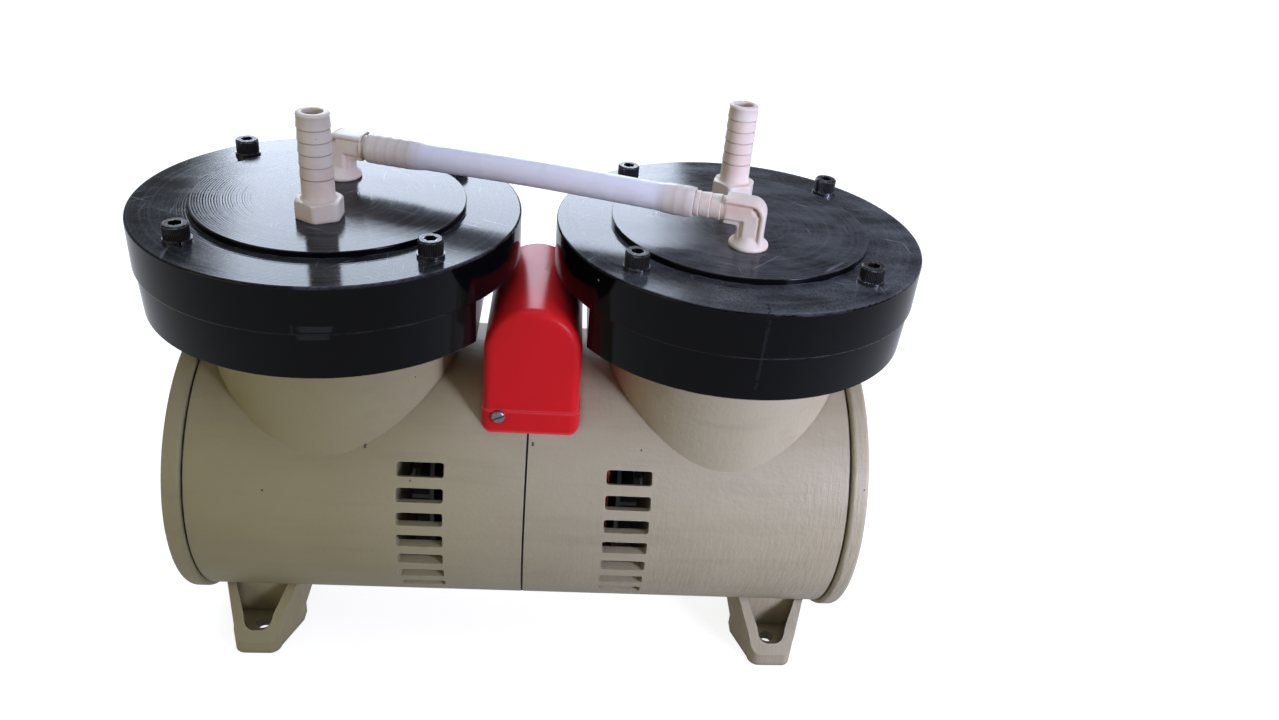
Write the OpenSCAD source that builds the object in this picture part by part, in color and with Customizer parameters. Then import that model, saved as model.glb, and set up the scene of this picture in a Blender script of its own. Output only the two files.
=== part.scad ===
// Twin-head diaphragm vacuum pump: one motor, two diaphragm heads joined in series by a tube.
// X runs along the motor axis, -Y is the front, Z is up, and the origin is on the floor
// under the centre seam. All sizes are in millimetres.

/* [Motor housing] */
// Outer radius of the two housing halves
body_r = 85.5; // [82:0.5:90]
// Wall of the housing castings
body_wall = 6; // [5:0.5:7]
// Height of the housing's underside above the floor
foot_rise = 18.5; // [16:0.5:26]
// Distance from a neck to the outer end of its housing half
end_margin = 3; // [2:0.5:12]
// Thickness of the black gasket in the centre seam
seam_t = 1.2; // [0.8:0.1:2]
// Width of the groove beside each end cover
groove_w = 1.2; // [0.8:0.1:2]
// Depth of that groove
groove_d = 2; // [1:0.25:3]
// Thickness of each end cover outside the housing
end_t = 11; // [9:0.5:14]
// How far the rim of an end cover stands proud of the housing
end_proud = 2.3; // [1:0.1:3]
// Thickness of a bearing wall
web_t = 14; // [13:0.5:16]
// Distance of the end cover screws from the outside of the housing
end_screw_inset = 15.5; // [15:0.5:20]

/* [Cooling vents] */
// Distance from the vents to the bearing wall
vent_margin = 1.5; // [1:0.5:6]
// Length of a vent along the motor
vent_len = 26.5; // [20:0.5:27]
// Height of a vent
vent_h = 8.6; // [5:0.2:10]
// Number of vents in one column
vent_n = 7; // [4:1:7]
// Angle between neighbouring vents
vent_pitch = 10; // [9:0.5:10]
// Angle from the top of the housing to the first vent
vent_start = 60; // [58:1:62]

/* [Motor] */
// Thickness of the housing round the stator core
stator_seat_t = 13.5; // [12.5:0.5:16]
// Radius of the stator bore
stator_bore_r = 42; // [38:0.5:44]
// Number of slots in the stator
slot_n = 12; // [8:1:14]
// Air gap between rotor and stator
air_gap = 0.5; // [0.3:0.1:1]
// Axial length of one end winding
winding_len = 14; // [8:1:16]
// Gap between an end winding and its fan
winding_gap = 4; // [2:0.5:8]
// Gap between a fan and its bearing wall
fan_gap = 6; // [3:0.5:8]
// Radius of a fan
fan_r = 60; // [50:1:68]
// Number of fan blades
fan_n = 9; // [6:1:12]
// Axial length of a fan
fan_len = 14; // [10:0.5:16]

/* [Bearings] */
// Bore radius of a main bearing
bearing_bore_r = 8.5; // [8.5:0.25:9]
// Outer radius of a main bearing
bearing_r = 20; // [19.5:0.25:21]
// Width of a main bearing
bearing_w = 12; // [10:0.5:12]
// Number of balls in a main bearing
ball_n = 8; // [6:1:9]
// Radius of a ball
ball_r = 3.2; // [2.8:0.1:3.3]
// Play between the balls and their races
ball_play = 0.12; // [0.1:0.02:0.2]
// Height of the shaft's shoulder beside a bearing
shoulder = 2.5; // [1.5:0.25:3.5]
// Step down from the bearings to the eccentrics' seats
crank_step = 1; // [0.5:0.25:2]

/* [Crank drive] */
// Throw of each eccentric, half the stroke
throw = 5; // [3:0.5:5]
// Least wall of an eccentric round its bore
eccentric_wall = 5; // [3:0.5:7]
// Running clearance between an eccentric and its bearing
running_gap = 0.05; // [0.02:0.01:0.08]
// Thickness of a rod bearing's ring
rod_bearing_t = 4.45; // [3:0.05:6]
// Width of a rod bearing
rod_bearing_w = 16; // [12:1:18]
// Wall of a rod's big end round its bearing
rod_eye_t = 8; // [5:0.5:11]
// Width of a rod shank seen along the motor axis
rod_w = 24; // [18:1:28]
// Thickness of a rod
rod_t = 14; // [10:1:16]
// Radius of the round pad at the top of a rod
rod_pad_r = 20; // [16:1:22]
// Radius of the counterweight of an eccentric
weight_r = 40; // [32:1:46]
// Thickness of the counterweight
weight_t = 9; // [6:0.5:11]
// Gap between the counterweight and the rod bearing
weight_gap = 7; // [5:0.5:9]
// Gap between the counterweight and the bearing wall
web_gap = 3; // [2:0.5:5]

/* [Diaphragm heads] */
// Half the gap between the two upper head discs
head_gap = 10; // [8:0.5:16]
// Height of the neck tops above the housing's top
neck_h = 33.3; // [30:0.1:40]
// How much smaller the neck is than the upper head disc
neck_inset = 34; // [31:0.5:37]
// Wall of a neck
neck_wall = 13; // [12:0.5:16]
// How much smaller the lower head disc is than the upper one
base_step = 1.4; // [0.2:0.1:3]
// Draft of the lower head disc, the loss of radius at its foot
base_draft = 1; // [0.2:0.1:2]
// Thickness of the lower head disc
base_t = 25.6; // [24:0.2:28]
// Gap between the terminal cover and the flat on the lower head disc
flat_gap = 1; // [0.5:0.1:4]
// Radius of the upper head disc
cover_r = 105; // [103:0.5:112]
// Thickness of the upper head disc
cover_t = 26.6; // [25:0.2:32]
// Rounding of the upper disc's edges
cover_round = 1.2; // [0.6:0.1:2]
// Gap between the spring washers and the raised centre of the upper disc
plateau_gap = 7; // [3:0.5:12]
// Height of the raised centre
plateau_h = 3.5; // [2.5:0.1:4.5]
// Distance of the four head screws from the edge of the upper disc
head_screw_inset = 16.8; // [14:0.2:19]
// Radius of the head screw threads
head_screw_r = 4; // [3:0.25:4]
// Radius of the head screw heads
head_screw_head_r = 6.5; // [5.5:0.25:7]
// Height of the head screw heads
head_screw_head_h = 8; // [5:0.5:9]
// Thickness of the spring washers
washer_t = 1.8; // [1:0.1:2.4]

/* [Diaphragms and valves] */
// Thickness of a diaphragm
diaphragm_t = 3; // [2:0.1:3]
// Distance from a diaphragm's edge to the head screws
seal_gap = 3.2; // [2:0.2:5]
// Width of the clamped rim of a diaphragm
rim_w = 8; // [6:0.5:11]
// Width of the free ring of a diaphragm, outside the discs that hold it
free_w = 28; // [24:0.5:34]
// Least gap between the clamp disc and the reed valves' rivets
top_gap = 0.8; // [0.3:0.1:2]
// Thickness of the clamp disc over a diaphragm
clamp_t = 3; // [2:0.1:3]
// Thickness of the support disc under a diaphragm
support_t = 4; // [3:0.25:4]
// Thickness of a valve plate
valve_plate_t = 5; // [4:0.1:5]
// Distance of the valves from the middle of the valve plate
valve_y = 24; // [20:1:30]
// Height of the gas rooms above a valve plate
gas_room_h = 6.5; // [5:0.1:7]
// How much smaller the gas rooms are than the free chamber
gas_room_inset = 7; // [4:0.5:12]

/* [Ports and tube] */
// Distance of the inlet barb in front of the left head's centre
inlet_y = 28; // [24:1:34]
// Distance of the left elbow behind the left head's centre
left_elbow_y = 30; // [24:1:34]
// Distance of the right elbow in front of the right head's centre
right_elbow_y = 33; // [28:1:36]
// Distance of the outlet barb behind the right head's centre
outlet_y = 39; // [34:1:42]
// Radius of a port in an upper disc
port_r = 8.5; // [7.5:0.1:9]
// Distance across the flats of a barb's hexagon
hex_af = 23; // [22:0.5:26]
// Height of a barb's hexagon
hex_h = 10; // [6:0.5:12]
// Radius of the straight barbs
barb_r = 8.7; // [8:0.1:9.2]
// Height of the straight barbs above their hexagons
barb_len = 46.5; // [40:0.5:54]
// Number of rings on a straight barb
barb_n = 5; // [3:1:6]
// Height of one ring
ring_h = 6.6; // [4.5:0.1:6.6]
// Plain end above the top ring
barb_nose = 1.4; // [0.8:0.1:2.4]
// Wall of the straight barbs at their rings
barb_wall = 3.1; // [2.4:0.1:4]
// Height of the tube's centre above the raised centre of a head
tube_rise = 19.5; // [17:0.5:24]
// Outer radius of the connecting tube
tube_r = 7.6; // [7.3:0.1:8.5]
// Wall of the connecting tube
tube_wall = 2; // [1.4:0.1:2.6]
// Length of an elbow's arm from the port's centre
elbow_arm = 15; // [13:0.5:16]
// Width of an elbow's body
elbow_w = 14; // [13:0.5:16]
// Length of an elbow's barb
elbow_barb_len = 32; // [28:1:36]
// How far the rings of an elbow's barb stretch the tube's bore
barb_grip = 1.5; // [0.8:0.1:1.7]
// Length of the left barb that the tube leaves bare
tube_bare_left = 3; // [2:0.5:8]
// Length of the right barb that the tube leaves bare
tube_bare_right = 17; // [4:0.5:20]

/* [Terminal cover] */
// Width of the red terminal cover
hood_w = 54; // [50:1:55]
// Distance of the cover's middle from the seam
hood_x = 1; // [0:0.25:1]
// Distance of the cover's front face from the motor axis
hood_front = 59; // [54:1:64]
// Distance of the cover's back face from the motor axis
hood_back = 32; // [28:1:38]
// Gap between the cover's top and the upper head discs
hood_gap = 4.9; // [2:0.1:7]
// Wall of the cover
hood_wall = 2.5; // [1.5:0.25:3]
// Rounding of the cover's edges
hood_round = 5; // [3.5:0.25:7]
// Height of the thick lip at the cover's foot
lip_h = 14.5; // [10:0.5:20]
// How far the lip stands proud
lip_t = 1; // [0.5:0.1:2]

/* [Feet] */
// Distance from the middle of a foot to the end of the housing
foot_inset = 26; // [24:1:40]
// Distance of the foot holes from the motor axis
foot_hole_y = 58; // [54:1:62]
// Radius of the foot holes
foot_hole_r = 4.5; // [3:0.25:5.5]
// Width of a foot where it carries the housing
foot_w = 45; // [38:1:48]
// Width of a foot at its tip
foot_tip_w = 28; // [24:1:32]
// Distance of a foot's tip from the motor axis
foot_tip_y = 77; // [74:1:82]
// Thickness of the foot pads
foot_t = 7; // [5:0.5:9]
// Clear height under the middle of a foot
foot_arch_z = 7.5; // [5:0.5:9]

/* [Hidden] */
$fn = 96;
LEFT = -1;
RIGHT = 1;
SIDES = [LEFT, RIGHT];
CORNERS = [45, 135, 225, 315];
// Fit between two fixed round pieces, and between a moving disc and the rubber that it holds
fit_gap = 0.06;
rubber_gap = 0.3;
// Overlap of a cut beyond the face that it opens
cut = 1;

room_r = body_r - body_wall;
axis_z = foot_rise + body_r;
stator_r = body_r - stator_seat_t;
end_screw_pcr = body_r - end_screw_inset;
// Places along the motor axis, worked out from the heads inwards and outwards
neck_r = cover_r - neck_inset;
head_x = cover_r + head_gap;
half_len = head_x + neck_r + end_margin;
foot_x = half_len - foot_inset;
weight_x = head_x - rod_bearing_w / 2 - weight_gap - weight_t;
web_end = weight_x - web_gap;
web_x = web_end - web_t;
vent_x = web_x - vent_margin - vent_len;
fan_x = web_x - fan_gap - fan_len;
stator_len = 2 * (fan_x - winding_gap - winding_len);
bearing_x = web_end - bearing_w;
shaft_end = head_x + rod_bearing_w / 2 + 3;

// Radii on the shaft and the crank drive
shaft_r = bearing_bore_r + shoulder;
crank_shaft_r = bearing_bore_r - crank_step;
eccentric_r = crank_shaft_r + throw + eccentric_wall;
rod_bearing_r = eccentric_r + running_gap + rod_bearing_t;
rod_eye_r = rod_bearing_r + rod_eye_t;
hub_r = crank_shaft_r + 8;
race_t = 3.2;
race_in_r = bearing_bore_r + race_t;
race_out_r = bearing_r - race_t;
ball_pitch_r = (race_in_r + race_out_r) / 2;
rotor_r = stator_bore_r - air_gap;
end_ring_len = 7;
set_screw_r = 2.5;

// Radii of a head
base_r = cover_r - base_step;
neck_bore_r = neck_r - neck_wall;
head_screw_pcr = cover_r - head_screw_inset;
washer_r = head_screw_head_r + 0.7;
plateau_r = head_screw_pcr - washer_r - plateau_gap;
diaphragm_r = head_screw_pcr - head_screw_r - seal_gap;
chamber_r = diaphragm_r - rim_w;
disc_r = chamber_r - free_w;
gas_room_r = chamber_r - gas_room_inset;
rod_hole_r = neck_bore_r / 2 + 1.5;
base_screw_r = 3;
base_screw_pcr = (neck_bore_r + neck_r) / 2;

// Heights of a head, from the neck upwards
neck_rise = body_r + neck_h;
neck_top = axis_z + neck_rise;
base_top = neck_top + base_t;
cover_top = base_top + cover_t;
plateau_top = cover_top + plateau_h;
base_floor_t = 8;
seat_z = base_top - diaphragm_t;
rubber_z = base_top - diaphragm_t / 2;
reed_t = 0.4;
rivet_t = 0.5;
chamber_h = throw + rubber_gap + clamp_t + reed_t + rivet_t + top_gap;
valve_z = base_top + chamber_h;
gas_z = valve_z + valve_plate_t;
gas_top = gas_z + gas_room_h;
// A crank's throw is up at the left head and down at the right head
function crank_z(side) = axis_z - side * throw;
function plate_z(side) = rubber_z - side * throw;

// Height of the round housing's underside, and of its top, at a distance y from the axis
function under_z(y) = axis_z - sqrt(body_r * body_r - y * y);
function over_z(y) = axis_z + sqrt(body_r * body_r - y * y);

// Screws: tie bolts through both halves, end cover screws and foot screws
tie_r = 2.5;
tie_nut_r = 4.6;
tie_pcr = stator_r + tie_r + 0.5;
end_screw_r = 2.5;
end_screw_sink = 3;
foot_screw_y = 20;
foot_screw_r = 3;
foot_wall_y = 44;
foot_wall_t = 6;
foot_top = under_z(foot_wall_y + foot_wall_t / 2) + 1;

// Ports, elbows and tube
port_depth = plateau_top - gas_top;
barb_bore_r = barb_r - barb_wall;
tube_bore_r = tube_r - tube_wall;
tube_z = plateau_top + tube_rise;
left_tube_end = [-head_x, left_elbow_y];
right_tube_end = [head_x, -right_elbow_y];
tube_run = norm(right_tube_end - left_tube_end);
tube_angle = atan2(right_tube_end.y - left_tube_end.y, right_tube_end.x - left_tube_end.x);
elbow_barb_r = tube_bore_r + barb_grip;
elbow_bore_r = tube_bore_r - 1.6;

// Terminal cover and what lies under it
hood_r = hood_w / 2;
hood_top = base_top - hood_gap;
hood_spring_z = hood_top - hood_r;
hood_depth = hood_front + hood_back;
base_flat_x = hood_x + hood_r + lip_t + flat_gap;
// Height at which the lip's front face meets the round housing
hood_foot_z = over_z(hood_front + lip_t);
lip_z = hood_foot_z + lip_h;
hood_screw_dx = hood_r - 9;
hood_screw_r = 2;
hood_screw_head_r = 3.8;
front_screw_z = hood_foot_z + lip_h - 3;
back_screw_z = axis_z + body_r + 6;
screw_pad_r = 4.5;
cap_r = hood_r - hood_wall - 7;
cap_z = axis_z + body_r + cap_r;
cap_front = hood_front - 23;
cap_back = hood_back - 21;
gland_r = 8;
gland_bore_r = 4;
gland_len = 19;
gland_nut_h = 4;
gland_z = cap_z + 9;

// A round bar along the motor axis from x0 to x1
module axial(r, x0, x1) {
    translate([x0, 0, axis_z]) rotate([0, 90, 0]) cylinder(r = r, h = x1 - x0);
}

// A tube along the motor axis
module axial_tube(r_out, r_in, x0, x1) {
    difference() {
        axial(r_out, x0, x1);
        axial(r_in, x0 - cut, x1 + cut);
    }
}

// Places children at an angle round the motor axis, 0 at the top and positive to the front,
// with their own Z pointing outwards
module round_motor(angle) {
    translate([0, 0, axis_z]) rotate([angle, 0, 0]) children();
}

// The left side is the right side mirrored in the seam
module on_side(side) {
    if (side == LEFT) mirror([1, 0, 0]) children();
    else children();
}

module at_head(side) {
    translate([side * head_x, 0, 0]) children();
}

// A rectangle with round corners, from its lower left corner
module round_rect(w, h, r) {
    translate([r, 0]) square([w - 2 * r, h]);
    translate([0, r]) square([w, h - 2 * r]);
    for (x = [r, w - r], y = [r, h - r]) translate([x, y]) circle(r, $fn = 32);
}

// Half of a disc's section with round edges, to be turned about its axis
module disc_section(r, h, edge) {
    square([r - edge, h]);
    translate([0, edge]) square([r, h - 2 * edge]);
    for (y = [edge, h - edge]) translate([r - edge, y]) circle(edge, $fn = 32);
}

// Motor housing: two castings with bearing walls, necks and cooling vents
module vent_column() {
    for (front = [1, -1], k = [0 : vent_n - 1])
        round_motor(front * (vent_start + k * vent_pitch))
            translate([vent_x, -vent_h / 2, room_r - 3])
                linear_extrude(body_wall + 6) round_rect(vent_len, vent_h, 1.6);
}

module housing_shell() {
    axial(body_r, seam_t / 2, half_len - groove_w / 2);
    axial(body_r - groove_d, half_len - groove_w, half_len);
    translate([head_x, 0, axis_z]) cylinder(r = neck_r, h = neck_rise);
}

module housing_rooms() {
    axial(stator_r, 0, stator_len / 2);
    axial(room_r, stator_len / 2, web_x);
    axial(room_r, web_end, half_len + cut);
    axial(bearing_r - 3, web_x - cut, web_end);
    axial(bearing_r, bearing_x, web_end + cut);
    for (a = CORNERS) round_motor(a)
        translate([0, -9, 0]) cube([stator_len / 2 + cut, 18, room_r - 1]);
    intersection() {
        translate([head_x, 0, axis_z]) cylinder(r = neck_bore_r, h = neck_rise + cut);
        translate([web_end, -neck_r, axis_z]) cube([2 * neck_r, 2 * neck_r, neck_rise + cut]);
    }
}

module end_bosses() {
    for (a = CORNERS) round_motor(a) translate([half_len - 22, 0, end_screw_pcr])
        rotate([0, 90, 0]) cylinder(r = 8, h = 22);
}

module foot_bosses() {
    intersection() {
        for (y = [foot_screw_y, -foot_screw_y])
            translate([foot_x, y, axis_z - body_r]) cylinder(r = 7, h = 16);
        axial(body_r - 1, web_end, half_len);
    }
}

module housing_holes() {
    for (a = CORNERS) {
        round_motor(a) translate([0, 0, tie_pcr]) rotate([0, 90, 0]) {
            cylinder(r = tie_r + 0.3, h = web_end + cut);
            translate([0, 0, web_end]) cylinder(r = tie_nut_r + 0.5, h = 7);
        }
        round_motor(a) translate([half_len - 16, 0, end_screw_pcr])
            rotate([0, 90, 0]) cylinder(r = end_screw_r + fit_gap, h = 17);
        translate([head_x, 0, 0]) rotate(a) translate([base_screw_pcr, 0, neck_top - 15])
            cylinder(r = base_screw_r + fit_gap, h = 16);
    }
    for (y = [foot_screw_y, -foot_screw_y])
        translate([foot_x, y, 0]) cylinder(r = foot_screw_r + fit_gap, h = foot_rise + 14);
}

module housing_half() {
    difference() {
        union() {
            difference() {
                housing_shell();
                housing_rooms();
            }
            end_bosses();
            foot_bosses();
        }
        vent_column();
        housing_holes();
    }
}

// Pads on the housing that the terminal cover is screwed to
module front_screw_pad() {
    difference() {
        translate([hood_x - hood_screw_dx, 0, front_screw_z]) rotate([90, 0, 0])
            cylinder(r = screw_pad_r, h = hood_front - hood_wall);
        axial(body_r - 2, -body_r, body_r);
        translate([hood_x - hood_screw_dx, -hood_front, front_screw_z]) rotate([-90, 0, 0])
            cylinder(r = hood_screw_r + fit_gap, h = 14);
    }
}

module back_screw_pad() {
    difference() {
        translate([hood_x + hood_screw_dx - screw_pad_r, hood_back - hood_wall - 9, axis_z])
            cube([2 * screw_pad_r, 9, back_screw_z + screw_pad_r - axis_z]);
        axial(body_r - 2, -body_r, body_r);
        translate([hood_x + hood_screw_dx, hood_back - hood_wall - 8, back_screw_z]) rotate([-90, 0, 0])
            cylinder(r = hood_screw_r + fit_gap, h = 9);
    }
}

module left_housing() {
    color("darkkhaki") {
        on_side(LEFT) housing_half();
        front_screw_pad();
    }
}

module right_housing() {
    color("darkkhaki") {
        housing_half();
        back_screw_pad();
    }
}

module seam_gasket() {
    color("black") difference() {
        axial_tube(body_r - 0.3, stator_r, -seam_t / 2, seam_t / 2);
        for (a = CORNERS) round_motor(a) translate([-seam_t, 0, tie_pcr])
            rotate([0, 90, 0]) cylinder(r = tie_r + 0.3, h = 2 * seam_t);
    }
}

// End cover: a turned lid with a spigot inside the housing and a proud rounded rim
module end_cover() {
    color("darkkhaki") difference() {
        union() {
            axial(body_r - groove_d, half_len, half_len + groove_w);
            translate([half_len + groove_w / 2, 0, axis_z]) rotate([0, 90, 0]) rotate_extrude()
                disc_section(body_r + end_proud, end_t - groove_w / 2, 2.5);
            axial_tube(room_r - 0.2, room_r - 6, half_len - 6, half_len);
        }
        axial(room_r - 10, half_len - cut, half_len + end_t - 5);
        for (a = CORNERS) {
            round_motor(a) translate([half_len - 7, 0, end_screw_pcr]) rotate([0, 90, 0])
                cylinder(r = 8.3, h = 7);
            round_motor(a) translate([half_len - cut, 0, end_screw_pcr]) rotate([0, 90, 0])
                cylinder(r = end_screw_r + 0.3, h = end_t + 2 * cut);
            round_motor(a) translate([half_len + end_t - end_screw_sink, 0, end_screw_pcr]) rotate([0, 90, 0])
                cylinder(r = 5.2, h = end_screw_sink + cut);
        }
    }
}

module left_end_cover() { on_side(LEFT) end_cover(); }

module right_end_cover() { end_cover(); }

// Socket screw with its head's underside at z = 0 and its thread below
module socket_screw(r, len, head_r, head_h, hex) {
    difference() {
        union() {
            cylinder(r = head_r, h = head_h - 0.8);
            translate([0, 0, head_h - 0.8]) cylinder(r1 = head_r, r2 = head_r - 0.8, h = 0.8);
            translate([0, 0, -len]) cylinder(r = r, h = len);
        }
        translate([0, 0, head_h * 0.45]) cylinder(r = hex / 2 / cos(30), h = head_h, $fn = 6);
    }
}

module end_cover_screws() {
    color("dimgray") for (side = SIDES, a = CORNERS) on_side(side)
        round_motor(a) translate([half_len + end_t - end_screw_sink, 0, end_screw_pcr]) rotate([0, 90, 0])
            socket_screw(end_screw_r, end_t + 9, 4.5, 5, 4);
}

module tie_bolts() {
    color("silver") for (a = CORNERS) round_motor(a) {
        translate([-web_end - 4, 0, tie_pcr]) rotate([0, 90, 0]) cylinder(r = tie_nut_r, h = 4, $fn = 6);
        translate([-web_end, 0, tie_pcr]) rotate([0, 90, 0]) cylinder(r = tie_r, h = 2 * web_end + 8);
    }
}

module tie_nuts() {
    color("silver") for (a = CORNERS) round_motor(a) difference() {
        translate([web_end, 0, tie_pcr]) rotate([0, 90, 0]) cylinder(r = tie_nut_r, h = 5, $fn = 6);
        translate([web_end - cut, 0, tie_pcr]) rotate([0, 90, 0]) cylinder(r = tie_r + fit_gap, h = 7);
    }
}

// Foot: a cast cradle under the housing with a tapering pad, two ribs and a hole at each end
module foot_plan(inset) {
    half = foot_w / 2 - inset;
    tip = foot_tip_w / 2 - inset;
    tip_y = foot_tip_y - inset;
    round = 7;
    for (s = [1, -1])
        polygon(concat(
            [[-half, 0], [half, 0], [half, s * (foot_wall_y + 4)]],
            [for (a = [0 : 15 : 75]) [tip - round * (1 - cos(a)), s * (tip_y - round * (1 - sin(a)))]],
            [for (a = [90 : 15 : 180]) [-tip + round * (1 + cos(a)), s * (tip_y - round * (1 - sin(a)))]],
            [[-half, s * (foot_wall_y + 4)]]));
}

module foot_ribs() {
    rib_t = 5;
    rib_top = under_z(foot_wall_y) + 4;
    intersection() {
        linear_extrude(rib_top) difference() {
            foot_plan(0);
            foot_plan(rib_t);
        }
        for (s = [1, -1]) rotate([90, 0, 90]) translate([0, 0, -foot_w / 2]) linear_extrude(foot_w)
            polygon([[s * (foot_wall_y - 4), 0], [s * (foot_tip_y + 1), 0],
                [s * (foot_tip_y + 1), foot_t + 1.5], [s * (foot_wall_y + 7), rib_top],
                [s * (foot_wall_y - 4), rib_top]]);
    }
}

module foot() {
    color("darkkhaki") difference() {
        union() {
            linear_extrude(foot_t) difference() {
                foot_plan(0);
                square([2 * foot_w, 2 * foot_wall_y - 4], center = true);
            }
            foot_ribs();
            for (s = [1, -1]) translate([-foot_w / 2, s * foot_wall_y - foot_wall_t / 2, 0])
                cube([foot_w, foot_wall_t, foot_top]);
            translate([-foot_w / 2, -foot_wall_y, foot_arch_z])
                cube([foot_w, 2 * foot_wall_y, foot_top - foot_arch_z]);
        }
        axial(body_r, -foot_w, foot_w);
        for (s = [1, -1]) {
            translate([0, s * foot_hole_y, -cut]) cylinder(r = foot_hole_r, h = foot_t + 2 * cut);
            translate([0, s * foot_screw_y, 0]) cylinder(r = foot_screw_r + 0.3, h = axis_z);
            translate([0, s * foot_screw_y, foot_arch_z - cut]) cylinder(r = 5.8, h = 6 + cut);
        }
    }
}

module left_foot() { translate([-foot_x, 0, 0]) foot(); }

module right_foot() { translate([foot_x, 0, 0]) foot(); }

module foot_screws() {
    color("dimgray") for (side = SIDES, y = [foot_screw_y, -foot_screw_y])
        translate([side * foot_x, y, foot_arch_z + 6]) rotate([180, 0, 0])
            socket_screw(foot_screw_r, 17, 5.3, 5.5, 5);
}

// Stator: slotted laminated core, with the winding in its slots and round its ends
module slot(grow) {
    translate([-stator_len / 2 - cut, -3 - grow, stator_bore_r + 3 - grow])
        cube([stator_len + 2 * cut, 6 + 2 * grow, 14 + 2 * grow]);
}

module stator_core() {
    color("slategray") difference() {
        axial_tube(stator_r - fit_gap, stator_bore_r, -stator_len / 2, stator_len / 2);
        for (k = [0 : slot_n - 1]) round_motor(k * 360 / slot_n) {
            slot(0.4);
            translate([-stator_len, -1.2, stator_bore_r - 4]) cube([2 * stator_len, 2.4, 8]);
        }
    }
}

module stator_winding() {
    color("peru") {
        for (k = [0 : slot_n - 1]) round_motor(k * 360 / slot_n) intersection() {
            slot(0);
            translate([-stator_len / 2 - 1.5, -10, 0]) cube([stator_len + 3, 20, body_r]);
        }
        for (side = SIDES) on_side(side)
            translate([stator_len / 2 + 0.5, 0, axis_z]) rotate([0, 90, 0]) rotate_extrude()
                translate([stator_bore_r + 1.5, 0]) round_rect(18, winding_len - 0.5, 4);
    }
}

// Main ball bearings: races, and balls that run between them
module ball_track() {
    translate([bearing_x + bearing_w / 2, 0, axis_z]) rotate([0, 90, 0]) rotate_extrude()
        translate([ball_pitch_r, 0]) circle(ball_r + ball_play, $fn = 48);
}

module outer_race() {
    color("lightgray") difference() {
        axial_tube(bearing_r - fit_gap, race_out_r, bearing_x, web_end);
        ball_track();
    }
}

module inner_race() {
    color("lightgray") difference() {
        axial_tube(race_in_r, bearing_bore_r + fit_gap, bearing_x, web_end);
        ball_track();
    }
}

module left_bearing_outer_race() { on_side(LEFT) outer_race(); }

module right_bearing_outer_race() { outer_race(); }

module left_bearing_inner_race() { on_side(LEFT) inner_race(); }

module right_bearing_inner_race() { inner_race(); }

module bearing_balls() {
    color("white") for (side = SIDES, k = [0 : ball_n - 1]) on_side(side)
        round_motor(k * 360 / ball_n) translate([bearing_x + bearing_w / 2, 0, ball_pitch_r])
            sphere(ball_r, $fn = 48);
}

// Rotor: shaft, squirrel-cage core, end rings and two fans
module motor_shaft() {
    color("silver") {
        axial(shaft_r, -bearing_x, bearing_x);
        axial(bearing_bore_r, -web_end - 1, web_end + 1);
        axial(crank_shaft_r, -shaft_end, shaft_end);
    }
}

module rotor_core() {
    color("gray") axial_tube(rotor_r, shaft_r + fit_gap, -stator_len / 2, stator_len / 2);
}

module rotor_end_rings() {
    color("lightgray") for (side = SIDES) on_side(side) {
        axial_tube(rotor_r - 2, rotor_r - 14, stator_len / 2, stator_len / 2 + end_ring_len);
    }
}

module fan() {
    hub = shaft_r + 6;
    disc_t = 2.5;
    blade_t = 2.4;
    color("whitesmoke") difference() {
        union() {
            axial(hub, fan_x - 6, fan_x + fan_len);
            axial(fan_r, fan_x, fan_x + disc_t);
            for (k = [0 : fan_n - 1]) round_motor(k * 360 / fan_n)
                translate([fan_x + disc_t / 2, -blade_t / 2, hub - 2])
                    cube([fan_len - disc_t, blade_t, fan_r - hub]);
        }
        axial(shaft_r + fit_gap, 0, web_x);
    }
}

module left_fan() { on_side(LEFT) fan(); }

module right_fan() { fan(); }

// Crank: an eccentric with its counterweight on the far side of the shaft
module eccentric(side) {
    color("gray") on_side(side) difference() {
        union() {
            translate([0, 0, crank_z(side) - axis_z]) axial(eccentric_r, weight_x + weight_t, shaft_end);
            axial(hub_r, weight_x, weight_x + weight_t);
            intersection() {
                axial(weight_r, weight_x, weight_x + weight_t);
                translate([weight_x, -weight_r, axis_z - (side < 0 ? weight_r : 0)])
                    cube([weight_t, 2 * weight_r, weight_r]);
            }
        }
        axial(crank_shaft_r + fit_gap, weight_x - cut, shaft_end + cut);
        set_screw_hole(side);
    }
}

module set_screw_hole(side) {
    translate([weight_x + weight_t / 2, 0, axis_z]) rotate([side < 0 ? 0 : 180, 0, 0])
        cylinder(r = set_screw_r + fit_gap, h = hub_r + cut);
}

module left_eccentric() { eccentric(LEFT); }

module right_eccentric() { eccentric(RIGHT); }

module eccentric_set_screws() {
    color("dimgray") for (side = SIDES) on_side(side)
        translate([weight_x + weight_t / 2, 0, axis_z]) rotate([side < 0 ? 0 : 180, 0, 0])
            translate([0, 0, crank_shaft_r]) difference() {
                cylinder(r = set_screw_r, h = hub_r - crank_shaft_r - 0.5);
                translate([0, 0, hub_r - crank_shaft_r - 3]) cylinder(r = 1.4, h = 4, $fn = 6);
            }
}

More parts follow.
